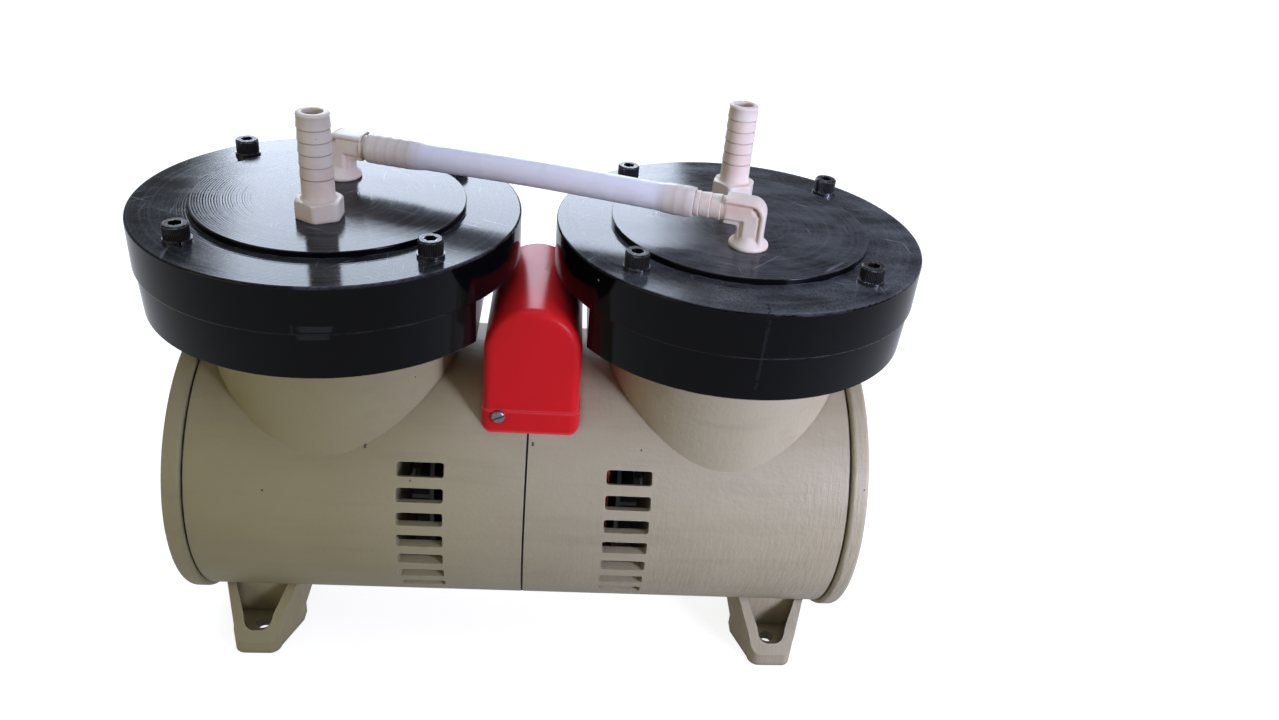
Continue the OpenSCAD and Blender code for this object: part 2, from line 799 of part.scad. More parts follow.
// Connecting rod: big end, shank and the pad that carries the diaphragm's discs
module rod(side) {
    pad_top = plate_z(side) - diaphragm_t / 2 - rubber_gap - support_t;
    color("lightslategray") difference() {
        union() {
            translate([side * head_x, 0, crank_z(side)]) rotate([0, 90, 0])
                cylinder(r = rod_eye_r, h = rod_t, center = true);
            translate([side * head_x - rod_t / 2, -rod_w / 2, crank_z(side)])
                cube([rod_t, rod_w, pad_top - crank_z(side)]);
            at_head(side) translate([0, 0, pad_top - 5]) cylinder(r = rod_pad_r, h = 5);
        }
        translate([side * head_x, 0, crank_z(side)]) rotate([0, 90, 0])
            cylinder(r = rod_bearing_r + fit_gap, h = rod_t + 2 * cut, center = true);
        for (s = [1, -1]) translate([side * head_x + s * rod_t / 2, 0, crank_z(side) + rod_eye_r + 4])
            translate([-3, -rod_w / 2 + 4, 0]) cube([6, rod_w - 8, pad_top - crank_z(side) - rod_eye_r - 22]);
        at_head(side) translate([0, 0, pad_top - 12]) cylinder(r = head_screw_r + fit_gap, h = 13);
    }
}

module rod_bearing(side) {
    color("gainsboro") translate([side * head_x, 0, crank_z(side)]) rotate([0, 90, 0]) difference() {
        cylinder(r = rod_bearing_r, h = rod_bearing_w, center = true);
        cylinder(r = eccentric_r + running_gap, h = rod_bearing_w + 2 * cut, center = true);
    }
}

module support_disc(side) {
    color("silver") at_head(side)
        translate([0, 0, plate_z(side) - diaphragm_t / 2 - rubber_gap - support_t]) difference() {
            rotate_extrude() disc_section(disc_r, support_t, 1);
            translate([0, 0, -cut]) cylinder(r = head_screw_r + fit_gap, h = support_t + 2 * cut);
        }
}

module clamp_disc(side) {
    color("silver") at_head(side)
        translate([0, 0, plate_z(side) + diaphragm_t / 2 + rubber_gap]) difference() {
            rotate_extrude() disc_section(disc_r, clamp_t, 1);
            translate([0, 0, -cut]) cylinder(r = head_screw_r + fit_gap, h = clamp_t + 2 * cut);
            translate([0, 0, 0.4])
                cylinder(r1 = head_screw_r, r2 = head_screw_r + clamp_t + 0.2, h = clamp_t);
        }
}

module disc_screw(side) {
    head_h = clamp_t - 0.4;
    color("dimgray") at_head(side)
        translate([0, 0, plate_z(side) + diaphragm_t / 2 + rubber_gap + clamp_t]) difference() {
            union() {
                translate([0, 0, -head_h])
                    cylinder(r1 = head_screw_r, r2 = head_screw_r + head_h, h = head_h);
                translate([0, 0, -22]) cylinder(r = head_screw_r, h = 22);
            }
            translate([0, 0, -2]) cylinder(r = 2.6, h = 3, $fn = 6);
        }
}

module left_rod() { rod(LEFT); }

module left_rod_bearing() { rod_bearing(LEFT); }

module left_support_disc() { support_disc(LEFT); }

module left_clamp_disc() { clamp_disc(LEFT); }

module left_disc_screw() { disc_screw(LEFT); }

module right_rod() { rod(RIGHT); }

module right_rod_bearing() { rod_bearing(RIGHT); }

module right_support_disc() { support_disc(RIGHT); }

module right_clamp_disc() { clamp_disc(RIGHT); }

module right_disc_screw() { disc_screw(RIGHT); }

// Head base: lower black disc on the neck, cut flat on the side that faces the seam
module head_base(side) {
    color("black") at_head(side) difference() {
        translate([0, 0, neck_top]) cylinder(r1 = base_r - base_draft, r2 = base_r, h = base_t, $fn = 160);
        translate([0, 0, neck_top + base_floor_t]) cylinder(r = chamber_r, h = base_t);
        translate([0, 0, seat_z]) cylinder(r = diaphragm_r + 0.2, h = base_t);
        translate([0, 0, neck_top - cut]) cylinder(r = rod_hole_r, h = base_t);
        translate([-side * (head_x - base_flat_x + base_r), 0, base_top])
            cube([2 * base_r, 3 * base_r, 3 * base_t], center = true);
        for (a = CORNERS) rotate(a) {
            translate([head_screw_pcr, 0, base_top - 20]) cylinder(r = head_screw_r + fit_gap, h = 21);
            translate([base_screw_pcr, 0, neck_top - cut]) cylinder(r = base_screw_r + 0.3, h = base_t);
        }
    }
}

module left_head_base() { head_base(LEFT); }

module right_head_base() { head_base(RIGHT); }

module base_screws() {
    color("dimgray") for (side = SIDES, a = CORNERS) at_head(side) rotate(a)
        translate([base_screw_pcr, 0, neck_top + base_floor_t]) socket_screw(base_screw_r, 21, 5, 6, 5);
}

// Diaphragm: rim in its seat, and a sloping web to the middle that the rod carries
module diaphragm(side) {
    t = diaphragm_t / 2;
    lift = plate_z(side) - rubber_z;
    color("dimgray") at_head(side) translate([0, 0, rubber_z]) rotate_extrude()
        polygon([[head_screw_r + 0.6, lift - t], [disc_r + 1.5, lift - t], [chamber_r, -t], [diaphragm_r, -t],
            [diaphragm_r, t], [chamber_r, t], [disc_r + 1.5, lift + t], [head_screw_r + 0.6, lift + t]]);
}

module left_diaphragm() { diaphragm(LEFT); }

module right_diaphragm() { diaphragm(RIGHT); }

// Valve plate: a cup whose rim clamps the diaphragm, with three holes for each valve
module valve_plate(side) {
    color("gray") at_head(side) difference() {
        translate([0, 0, base_top]) cylinder(r = diaphragm_r, h = chamber_h + valve_plate_t);
        translate([0, 0, base_top - cut]) cylinder(r = chamber_r, h = chamber_h + cut);
        for (y = [valve_y, -valve_y], x = [-8, 0, 8]) translate([x, y, valve_z - cut])
            cylinder(r = 2.6, h = valve_plate_t + 2 * cut);
        for (y = [valve_y, -valve_y]) translate([18, y, valve_z - cut])
            cylinder(r = 2 + fit_gap, h = valve_plate_t + 2 * cut);
    }
}

module left_valve_plate() { valve_plate(LEFT); }

module right_valve_plate() { valve_plate(RIGHT); }

// Reed valves: the inlet reed lies under the plate at the front, the outlet reed on it behind
module reed_valves(side) {
    color("lightsteelblue") at_head(side) for (outlet = [0, 1]) {
        y = outlet == 1 ? valve_y : -valve_y;
        z = outlet == 1 ? gas_z : valve_z - reed_t;
        translate([-14, y - 6, z]) linear_extrude(reed_t) round_rect(36, 12, 4);
        translate([18, y, valve_z - reed_t - (outlet == 1 ? 0.1 : rivet_t)])
            cylinder(r = 2, h = valve_plate_t + 2 * reed_t + (outlet == 1 ? 0.1 + rivet_t : rivet_t));
        translate([18, y, outlet == 1 ? gas_z + reed_t : valve_z - reed_t - rivet_t])
            cylinder(r = 3.5, h = rivet_t);
    }
}

module left_reed_valves() { reed_valves(LEFT); }

module right_reed_valves() { reed_valves(RIGHT); }

// Head cover: upper black disc with its raised centre, gas rooms and two ports
module head_cover(side, front_port_y, back_port_y) {
    color("black") at_head(side) difference() {
        union() {
            translate([0, 0, base_top]) rotate_extrude($fn = 160) disc_section(cover_r, cover_t, cover_round);
            translate([0, 0, cover_top - 3]) rotate_extrude($fn = 160)
                disc_section(plateau_r, plateau_h + 3, 0.6);
        }
        translate([0, 0, base_top - cut]) cylinder(r = diaphragm_r + 0.2, h = gas_z - base_top + cut);
        difference() {
            translate([0, 0, gas_z - cut]) cylinder(r = gas_room_r, h = gas_room_h + cut);
            translate([0, 0, gas_z]) cube([2 * cover_r, 10, 4 * gas_room_h], center = true);
        }
        for (y = [-front_port_y, back_port_y]) translate([0, y, gas_z]) cylinder(r = port_r, h = cover_t);
        for (a = CORNERS) rotate(a) translate([head_screw_pcr, 0, base_top - cut])
            cylinder(r = head_screw_r + 0.3, h = cover_t + 2 * cut);
    }
}

module left_head_cover() { head_cover(LEFT, inlet_y, left_elbow_y); }

module right_head_cover() { head_cover(RIGHT, right_elbow_y, outlet_y); }

module head_screws() {
    color("#26262b") for (side = SIDES, a = CORNERS) at_head(side) rotate(a)
        translate([head_screw_pcr, 0, cover_top + washer_t])
            socket_screw(head_screw_r, cover_t + washer_t + 16, head_screw_head_r, head_screw_head_h, 6.4);
}

module spring_washers() {
    color("silver") for (side = SIDES, a = CORNERS) at_head(side) rotate(a)
        translate([head_screw_pcr, 0, cover_top]) difference() {
            cylinder(r = washer_r, h = washer_t);
            translate([0, 0, -cut]) cylinder(r = head_screw_r + 0.2, h = washer_t + 2 * cut);
            translate([0, 0, -cut]) rotate(70) cube([2 * head_screw_head_r, 1.2, washer_t + 2 * cut]);
        }
}

// Straight hose barb: spigot in the port, hexagon, plain neck and sharp rings
module barb(side, y, turn) {
    ring_z = hex_h + barb_len - barb_nose - barb_n * ring_h;
    color("ivory") at_head(side) translate([0, y, plateau_top]) difference() {
        union() {
            translate([0, 0, -port_depth]) cylinder(r = port_r - fit_gap, h = port_depth);
            rotate(turn) intersection() {
                cylinder(r = hex_af / 2 / cos(30), h = hex_h, $fn = 6);
                cylinder(r1 = hex_af / 2 + hex_h, r2 = hex_af / 2 + 0.8, h = hex_h);
            }
            cylinder(r = barb_r, h = ring_z);
            for (k = [0 : barb_n - 1]) translate([0, 0, ring_z + k * ring_h])
                cylinder(r1 = barb_r, r2 = barb_r - 0.7, h = ring_h);
            cylinder(r = barb_r - 0.7, h = hex_h + barb_len);
        }
        translate([0, 0, -port_depth - cut])
            cylinder(r = barb_bore_r, h = port_depth + hex_h + barb_len + 2 * cut);
    }
}

module inlet_barb() { barb(LEFT, -inlet_y, -2); }

module outlet_barb() { barb(RIGHT, outlet_y, 43); }

// Elbow: spigot and flange in the port, a rounded L with hollowed sides, and a barbed arm
module elbow_outline() {
    half = elbow_w / 2 + 0.5;
    translate([0, 0]) square([elbow_arm, tube_rise + half]);
    translate([-half, 0]) square([2 * half, tube_rise]);
    translate([0, tube_rise]) circle(half, $fn = 48);
}

module elbow() {
    half = elbow_w / 2 + 0.5;
    ring = 6;
    ring_n = floor((elbow_barb_len - 2) / ring);
    color("ivory") difference() {
        union() {
            translate([0, 0, -port_depth]) cylinder(r = port_r - fit_gap, h = port_depth);
            cylinder(r = port_r + 2.5, h = 2);
            translate([0, 0, 2]) cylinder(r1 = port_r + 2.5, r2 = half, h = 3.5);
            rotate([90, 0, 0]) linear_extrude(elbow_w, center = true) difference() {
                elbow_outline();
                translate([half, -cut]) square([elbow_arm, tube_rise - half + cut]);
            }
            translate([elbow_arm - 1, 0, tube_rise]) rotate([0, 90, 0])
                cylinder(r = elbow_barb_r - 0.4, h = elbow_barb_len + 1);
            for (k = [0 : ring_n - 1])
                translate([elbow_arm + elbow_barb_len - (k + 1) * ring, 0, tube_rise]) rotate([0, 90, 0])
                    cylinder(r1 = elbow_barb_r, r2 = elbow_barb_r - 0.8, h = ring);
        }
        translate([0, 0, -port_depth - cut]) cylinder(r = elbow_bore_r, h = port_depth + tube_rise + cut);
        translate([0, 0, tube_rise]) sphere(elbow_bore_r, $fn = 48);
        translate([0, 0, tube_rise]) rotate([0, 90, 0])
            cylinder(r = elbow_bore_r, h = elbow_arm + elbow_barb_len + cut);
        for (s = [1, -1]) rotate([90, 0, 0]) translate([0, 0, s * elbow_w / 2])
            linear_extrude(3, center = true) {
                translate([-half + 3, 8]) square([half, tube_rise - 8]);
                translate([0, 8]) square([elbow_arm + 1, tube_rise + half - 11]);
                translate([0, tube_rise]) circle(half - 3, $fn = 48);
            }
    }
}

module left_elbow() {
    translate([left_tube_end.x, left_tube_end.y, plateau_top]) rotate(tube_angle) elbow();
}

module right_elbow() {
    translate([right_tube_end.x, right_tube_end.y, plateau_top]) rotate(tube_angle + 180) elbow();
}

// Connecting tube: clear hose, stretched a little where it is pushed over the barbs
module connecting_tube() {
    start = elbow_arm + tube_bare_left;
    finish = tube_run - elbow_arm - tube_bare_right;
    left_grip = elbow_barb_len - tube_bare_left + 1;
    right_grip = elbow_barb_len - tube_bare_right + 1;
    stretch = elbow_barb_r - tube_bore_r + fit_gap;
    wide = tube_r + stretch / 2;
    color("aliceblue") translate([left_tube_end.x, left_tube_end.y, tube_z])
        rotate(tube_angle) rotate([0, 90, 0]) difference() {
            union() {
                translate([0, 0, start]) cylinder(r = tube_r, h = finish - start);
                translate([0, 0, start]) cylinder(r = wide, h = left_grip);
                translate([0, 0, start + left_grip]) cylinder(r1 = wide, r2 = tube_r, h = 5);
                translate([0, 0, finish - right_grip]) cylinder(r = wide, h = right_grip);
                translate([0, 0, finish - right_grip - 5]) cylinder(r1 = tube_r, r2 = wide, h = 5);
            }
            translate([0, 0, start - cut]) cylinder(r = tube_bore_r, h = finish - start + 2 * cut);
            translate([0, 0, start - cut]) cylinder(r = tube_bore_r + stretch, h = left_grip + cut);
            translate([0, 0, finish - right_grip])
                cylinder(r = tube_bore_r + stretch, h = right_grip + cut);
        }
}

// Terminal cover: a moulded red hood with an arched front and a thick lip at its foot
module hood_solid(inset) {
    r = hood_r - inset;
    depth = hood_depth - 2 * inset;
    edge = max(hood_round - inset, 0.5);
    translate([hood_x, -hood_front + inset, 0]) {
        translate([-r, 0, axis_z]) linear_extrude(hood_spring_z - axis_z) round_rect(2 * r, depth, edge);
        translate([0, 0, hood_spring_z]) rotate([-90, 0, 0]) rotate_extrude() intersection() {
            translate([-r, 0]) round_rect(2 * r, depth, edge);
            square([r, depth]);
        }
    }
}

module terminal_cover() {
    color("crimson") difference() {
        union() {
            hood_solid(0);
            translate([hood_x - hood_r - lip_t, -hood_front - lip_t, axis_z])
                linear_extrude(lip_z - axis_z)
                    round_rect(hood_w + 2 * lip_t, hood_depth + 2 * lip_t, hood_round + lip_t);
        }
        hood_solid(hood_wall);
        axial(body_r, -hood_w, hood_w);
        translate([-hood_w, -body_r, 0]) cube([2 * hood_w, body_r * 2, hood_foot_z]);
        translate([hood_x - hood_screw_dx, -hood_front - 2 * lip_t, front_screw_z]) rotate([-90, 0, 0])
            cylinder(r = hood_screw_r + 0.3, h = 10);
        translate([hood_x + hood_screw_dx, hood_back - 5, back_screw_z]) rotate([-90, 0, 0])
            cylinder(r = hood_screw_r + 0.3, h = 10);
        translate([hood_x, hood_back - 5, gland_z]) rotate([-90, 0, 0])
            cylinder(r = gland_r + fit_gap, h = 10);
    }
}

// Slotted screw with its head's underside at z = 0 and its thread below
module slotted_screw(len) {
    difference() {
        union() {
            cylinder(r = hood_screw_head_r, h = 1.8);
            translate([0, 0, 1.8]) cylinder(r1 = hood_screw_head_r, r2 = hood_screw_head_r - 0.7, h = 0.7);
            translate([0, 0, -len]) cylinder(r = hood_screw_r, h = len);
        }
        rotate(25) translate([-hood_screw_head_r - 0.5, -0.5, 1.3]) cube([2 * hood_screw_head_r + 1, 1, 3]);
    }
}

module cover_screws() {
    color("silver") {
        translate([hood_x - hood_screw_dx, -hood_front - lip_t, front_screw_z]) rotate([90, 0, 0])
            slotted_screw(12);
        translate([hood_x + hood_screw_dx, hood_back, back_screw_z]) rotate([-90, 0, 0])
            slotted_screw(9);
    }
}

// Parts under the terminal cover
module run_capacitor() {
    color("lightgray") {
        translate([hood_x, -cap_front, cap_z]) rotate([-90, 0, 0]) rotate_extrude()
            disc_section(cap_r, cap_front + cap_back, 2);
        for (x = [-5, 5]) translate([hood_x + x, -cap_front - 5, cap_z])
            rotate([-90, 0, 0]) cylinder(r = 1.5, h = 6, $fn = 24);
    }
}

module terminal_block() {
    color("dimgray") difference() {
        translate([hood_x - 11, -hood_front + hood_wall + 3, axis_z]) cube([30, 12, lip_z - axis_z + 18]);
        axial(body_r, -hood_w, hood_w);
        for (k = [0 : 2]) translate([hood_x - 6 + k * 10, -hood_front + hood_wall + 9, lip_z + 10])
            cylinder(r = 2.5, h = 12);
    }
}

module cable_gland() {
    color("#26262b") translate([hood_x, hood_back, gland_z]) rotate([-90, 0, 0]) difference() {
        union() {
            translate([0, 0, -hood_wall - gland_nut_h])
                cylinder(r = gland_r, h = hood_wall + gland_nut_h + 1);
            cylinder(r = gland_r + 3, h = 5, $fn = 6);
            translate([0, 0, 5]) cylinder(r = gland_r + 1, h = gland_len - 10);
            translate([0, 0, gland_len - 5]) cylinder(r1 = gland_r + 1, r2 = gland_r - 2, h = 5);
        }
        translate([0, 0, -hood_wall - gland_nut_h - cut])
            cylinder(r = gland_bore_r, h = hood_wall + gland_nut_h + gland_len + 2 * cut);
    }
}

left_housing();
right_housing();
seam_gasket();
left_end_cover();
right_end_cover();
end_cover_screws();
tie_bolts();
tie_nuts();
left_foot();
right_foot();
foot_screws();
stator_core();
stator_winding();
left_bearing_outer_race();
right_bearing_outer_race();
left_head_base();
right_head_base();
base_screws();
left_diaphragm();
right_diaphragm();
left_valve_plate();
right_valve_plate();
left_reed_valves();
right_reed_valves();
left_head_cover();
right_head_cover();
head_screws();
spring_washers();
inlet_barb();
outlet_barb();
left_elbow();
right_elbow();
connecting_tube();
terminal_cover();
cover_screws();
run_capacitor();
terminal_block();
cable_gland();
motor_shaft();
rotor_core();
rotor_end_rings();
left_fan();
right_fan();
left_bearing_inner_race();
right_bearing_inner_race();
bearing_balls();
left_eccentric();
right_eccentric();
eccentric_set_screws();
left_rod();
left_rod_bearing();
left_support_disc();
left_clamp_disc();
left_disc_screw();
right_rod();
right_rod_bearing();
right_support_disc();
right_clamp_disc();
right_disc_screw();
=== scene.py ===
from math import atan2, cos, pi, radians, sin

import bmesh
import bpy
from mathutils import Matrix, Vector


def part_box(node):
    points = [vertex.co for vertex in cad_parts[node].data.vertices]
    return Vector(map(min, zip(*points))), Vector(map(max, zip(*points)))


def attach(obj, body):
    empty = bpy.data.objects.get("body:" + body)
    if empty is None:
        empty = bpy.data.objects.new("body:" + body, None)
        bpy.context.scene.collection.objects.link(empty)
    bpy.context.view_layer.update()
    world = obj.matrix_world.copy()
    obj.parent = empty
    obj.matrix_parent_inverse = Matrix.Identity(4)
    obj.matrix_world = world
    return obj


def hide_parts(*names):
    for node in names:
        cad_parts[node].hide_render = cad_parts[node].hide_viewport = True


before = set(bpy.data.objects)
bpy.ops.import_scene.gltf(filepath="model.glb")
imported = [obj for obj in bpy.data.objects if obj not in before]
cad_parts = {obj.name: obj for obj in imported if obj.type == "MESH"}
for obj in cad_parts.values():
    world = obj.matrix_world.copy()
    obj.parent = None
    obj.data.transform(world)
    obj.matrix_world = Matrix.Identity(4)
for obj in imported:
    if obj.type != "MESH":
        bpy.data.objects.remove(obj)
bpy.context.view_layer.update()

scene = bpy.context.scene


# The camera stands in front of the pump and looks down on it, a little from the right and
# tilted, as a hand-held one does. Its place comes from the ellipses of both heads.

eye = Vector((0.0123, -0.5366, 0.5053))
yaw, pitch, roll = 0.106, 0.534, 0.106
ahead = Vector((sin(yaw) * cos(pitch), cos(yaw) * cos(pitch), -sin(pitch)))
level_right = ahead.cross(Vector((0, 0, 1))).normalized()
level_up = level_right.cross(ahead)
camera_right = cos(roll) * level_right + sin(roll) * level_up
camera_up = -sin(roll) * level_right + cos(roll) * level_up
lens = bpy.data.cameras.new("pump_camera")
lens.sensor_fit = "HORIZONTAL"
lens.sensor_width = 36
lens.lens = 28.547
lens.shift_x = -0.0056
lens.shift_y = -0.0046
lens.clip_start = 0.01
camera = bpy.data.objects.new("pump_camera", lens)
scene.collection.objects.link(camera)
camera.matrix_world = Matrix((
    (camera_right.x, camera_up.x, -ahead.x, eye.x),
    (camera_right.y, camera_up.y, -ahead.y, eye.y),
    (camera_right.z, camera_up.z, -ahead.z, eye.z),
    (0, 0, 0, 1),
))
scene.camera = camera
scene.view_settings.view_transform = "Standard"


# The studio: a pale floor, a small cool lamp in front to the right, a broad warm one to the
# left, and a tall pale window behind that shines on the glossy tops of the heads. The air is
# dim beside the pump and pale blue over it.

def wire(tree, socket, value):
    """Feeds a socket with another socket or with a plain value."""
    if isinstance(value, bpy.types.NodeSocket):
        tree.links.new(value, socket)
    else:
        socket.default_value = value


def add(tree, kind, feeds=None, **settings):
    """One shader node: its settings, and what each socket is fed, a value or another socket."""
    node = tree.nodes.new("ShaderNode" + kind)
    for name, value in settings.items():
        setattr(node, name, value)
    for socket, value in (feeds or {}).items():
        wire(tree, node.inputs[socket], value)
    return node


def maths(tree, operation, *values, clamp=False):
    """The result of one Math node."""
    node = add(tree, "Math", dict(enumerate(values)), operation=operation, use_clamp=clamp)
    return node.outputs[0]


def product(tree, first, *others):
    """These values multiplied."""
    for other in others:
        first = maths(tree, "MULTIPLY", first, other)
    return first


def colour(red, green, blue):
    """A screen colour, 0 to 255 each, as the linear colour that the shaders take."""
    return tuple((c / 255 / 12.92 if c < 10 else ((c / 255 + 0.055) / 1.055) ** 2.4)
                 for c in (red, green, blue)) + (1.0,)


def blend_colours(tree, share, first, second):
    """Two colours mixed by a mask."""
    return add(tree, "Mix", {0: share, 6: first, 7: second}, data_type="RGBA").outputs[2]


def soft_lamp(name, stand_at, target, size, watts, tint, spread=180):
    """A rectangular lamp that shines on the target and isn't seen itself."""
    lamp = bpy.data.lights.new(name, "AREA")
    lamp.shape = "RECTANGLE"
    lamp.size, lamp.size_y = size
    lamp.energy, lamp.color, lamp.spread = watts, tint, radians(spread)
    stand = bpy.data.objects.new(name, lamp)
    scene.collection.objects.link(stand)
    stand.location = stand_at
    facing = Vector(target) - Vector(stand_at)
    stand.rotation_euler = facing.to_track_quat("-Z", "Y").to_euler()
    stand.visible_camera = False


soft_lamp("front_right_lamp", stand_at=(0.95, -0.8, 0.5), target=(0.29, 0, 0.2),
          size=(0.4, 0.4), watts=1.8, tint=(0.64, 0.67, 1), spread=40)
soft_lamp("left_lamp", stand_at=(-1.3, -0.9, 0.6), target=(-0.1, 0, 0.14),
          size=(0.9, 0.9), watts=3.4, tint=(1, 0.88, 0.6))
soft_lamp("back_window", stand_at=(-0.27, 2.0, 1.17), target=(-0.12, 0, 0.27),
          size=(1.2, 0.95), watts=34, tint=(0.75, 0.84, 1))

white = (1, 1, 1, 1)
low_air, side_air, top_air = (0.37, 0.34, 0.3, 1), (0.2, 0.205, 0.22, 1), (1.1, 1.3, 1.75, 1)
world = bpy.data.worlds.new("studio")
scene.world = world
world.use_nodes = True
tree = world.node_tree
tree.nodes.clear()
height = add(tree, "SeparateXYZ", {0: add(tree, "TexCoord").outputs["Generated"]}).outputs["Z"]
air = low_air
for begins, ends, air_above in ((0.14, 0.32, side_air), (0.8, 0.95, top_air)):
    risen = add(tree, "MapRange", {"Value": height, "From Min": begins, "From Max": ends},
                interpolation_type="SMOOTHSTEP").outputs[0]
    air = blend_colours(tree, risen, air, air_above)
air = blend_colours(tree, add(tree, "LightPath").outputs["Is Camera Ray"], air, white)
room = add(tree, "Background", {"Color": air, "Strength": 1.0})
add(tree, "OutputWorld", {"Surface": room.outputs[0]})

floor_half, floor_level, floor_grey, floor_glow, floor_in_gloss = 6, -0.0004, 0.36, 0.86, 0.42
floor_mesh = bpy.data.meshes.new("floor")
floor_mesh.from_pydata([(x * floor_half, y * floor_half, floor_level)
                        for x, y in ((-1, -1), (1, -1), (1, 1), (-1, 1))], [], [(0, 1, 2, 3)])
floor = bpy.data.objects.new("floor", floor_mesh)
scene.collection.objects.link(floor)
floor_paint = bpy.data.materials.new("floor_paint")
floor_paint.use_nodes = True
tree = floor_paint.node_tree
tree.nodes.clear()
rays = add(tree, "LightPath").outputs
in_gloss = product(tree, rays["Is Glossy Ray"], floor_in_gloss)
seen = maths(tree, "MAXIMUM", rays["Is Camera Ray"],
             maths(tree, "MAXIMUM", in_gloss, rays["Is Transmission Ray"]))
matt = add(tree, "BsdfDiffuse", {"Color": (floor_grey, floor_grey, floor_grey, 1)})
glow = add(tree, "Emission", {"Color": white, "Strength": product(tree, seen, floor_glow)})
both = add(tree, "AddShader", {0: matt.outputs[0], 1: glow.outputs[0]})
add(tree, "OutputMaterial", {"Surface": both.outputs[0]})
floor_mesh.materials.append(floor_paint)


# The housing halves: two sand-cast aluminium shells, machined at the joint, each with a round
# neck for its head and seven vents front and back. They are sprayed with stone-grey enamel,
# which lies a little thick and rough over the casting. The end lids are cast and painted alike.

def node_group(name, takes, gives):
    """A shader group with these input values and outputs, and the sockets of its two ends."""
    group = bpy.data.node_groups.new(name, "ShaderNodeTree")
    for label, (kind, value) in takes.items():
        socket = group.interface.new_socket(label, in_out="INPUT", socket_type="NodeSocket" + kind)
        socket.default_value = value
    for label in gives:
        group.interface.new_socket(label, in_out="OUTPUT", socket_type="NodeSocketFloat")
    return (group, group.nodes.new("NodeGroupInput").outputs,
            group.nodes.new("NodeGroupOutput").inputs)


def place(tree, group, **feeds):
    """One placing of a shared effect, with _ for the spaces in its inputs' names."""
    named = {name.replace("_", " "): value for name, value in feeds.items()}
    return add(tree, "Group", named, node_tree=group).outputs


def mask_of(tree, group, **feeds):
    """The mask that one placing of a shared effect gives."""
    return place(tree, group, **feeds)["Mask"]


def vector_maths(tree, operation, *values):
    """The result of one Vector Math node."""
    node = add(tree, "VectorMath", dict(enumerate(values)), operation=operation)
    return node.outputs["Value" if operation in ("DOT_PRODUCT", "LENGTH") else "Vector"]


def spots_on(tree):
    """Each spot's place on the piece, in metres."""
    return add(tree, "TexCoord").outputs["Object"]


def parts_of(tree, vector):
    """The X, Y and Z of a vector."""
    return add(tree, "SeparateXYZ", {0: vector}).outputs


def upward(tree, normal="Normal"):
    """How far a surface faces up, from -1 to 1."""
    return parts_of(tree, add(tree, "NewGeometry").outputs[normal])["Z"]


def scaled(tree, vector, scale=(1, 1, 1), turn=0):
    """Places scaled and then turned about z, for drawn-out textures."""
    return add(tree, "Mapping", {"Vector": vector, "Rotation": (0, 0, turn),
                                 "Scale": scale}).outputs[0]


def noise(tree, vector, scale, detail=3, rough=0.5):
    """A noise texture's value."""
    return add(tree, "TexNoise", {"Vector": vector, "Scale": scale, "Detail": detail,
                                  "Roughness": rough}).outputs[0]


def ramp(tree, value, low, high, to_low=0.0, to_high=1.0):
    """The value spread from low..high to to_low..to_high, and held there."""
    return add(tree, "MapRange", {"Value": value, "From Min": low, "From Max": high,
                                  "To Min": to_low, "To Max": to_high},
               clamp=True).outputs[0]


# A mask along edges and creases, in patches unless Unbroken is 1. On most pieces it marks real
# wear; on the red hood and the head edges it carries a painted highlight.
edge_wear_and_highlight, takes, gives = node_group(
    "edge_wear_and_highlight", {"Width": ("Float", 0.001), "Patches": ("Float", 60.0),
                  "Amount": ("Float", 1.0), "Unbroken": ("Float", 0.0)}, ["Mask"])
rounded = add(edge_wear_and_highlight, "Bevel", {"Radius": takes["Width"]}, samples=6).outputs[0]
true_face = add(edge_wear_and_highlight, "NewGeometry").outputs["True Normal"]
edge = ramp(edge_wear_and_highlight, vector_maths(edge_wear_and_highlight, "DOT_PRODUCT", rounded, true_face), 0.995, 0.9)
torn = noise(edge_wear_and_highlight, spots_on(edge_wear_and_highlight), takes["Patches"], 4, 0.65)
broken = maths(edge_wear_and_highlight, "MAXIMUM", ramp(edge_wear_and_highlight, torn, 0.42, 0.62), takes["Unbroken"])
wire(edge_wear_and_highlight, gives["Mask"], product(edge_wear_and_highlight, edge, broken, takes["Amount"]))

dust, takes, gives = node_group(
    "dust", {"Grain": ("Float", 900.0), "Cloud": ("Float", 18.0), "Amount": ("Float", 1.0)},
    ["Mask"])
spots = spots_on(dust)
cloud = ramp(dust, noise(dust, spots, takes["Cloud"], 5, 0.6), 0.38, 0.72)
grain = ramp(dust, noise(dust, spots, takes["Grain"], 2, 0.6), 0.45, 0.8)
lying = ramp(dust, upward(dust), 0.2, 0.9, 0.15, 1)
settled = product(dust, cloud, lying, maths(dust, "MULTIPLY_ADD", grain, 0.7, 0.3))
wire(dust, gives["Mask"], maths(dust, "MULTIPLY", settled, takes["Amount"], clamp=True))

orange_peel, takes, gives = node_group(
    "orange_peel", {"Size": ("Float", 260.0), "Lumps": ("Float", 60.0)}, ["Height"])
spots = spots_on(orange_peel)
fine = noise(orange_peel, spots, takes["Size"], 3, 0.55)
coarse = noise(orange_peel, spots, takes["Lumps"], 4, 0.6)
wire(orange_peel, gives["Height"], maths(orange_peel, "MULTIPLY_ADD", coarse, 2.2, fine))

pin_holes, takes, gives = node_group(
    "pin_holes", {"Count": ("Float", 90.0), "Size": ("Float", 0.1), "Share": ("Float", 0.5)},
    ["Mask"])
cells = add(pin_holes, "TexVoronoi", {"Vector": spots_on(pin_holes), "Scale": takes["Count"],
                                      "Randomness": 1.0}).outputs
near = maths(pin_holes, "LESS_THAN", cells["Distance"], takes["Size"])
drawn = add(pin_holes, "SeparateColor", {0: cells["Color"]}).outputs[0]
chosen = maths(pin_holes, "LESS_THAN", drawn, takes["Share"])
wire(pin_holes, gives["Mask"], product(pin_holes, near, chosen))

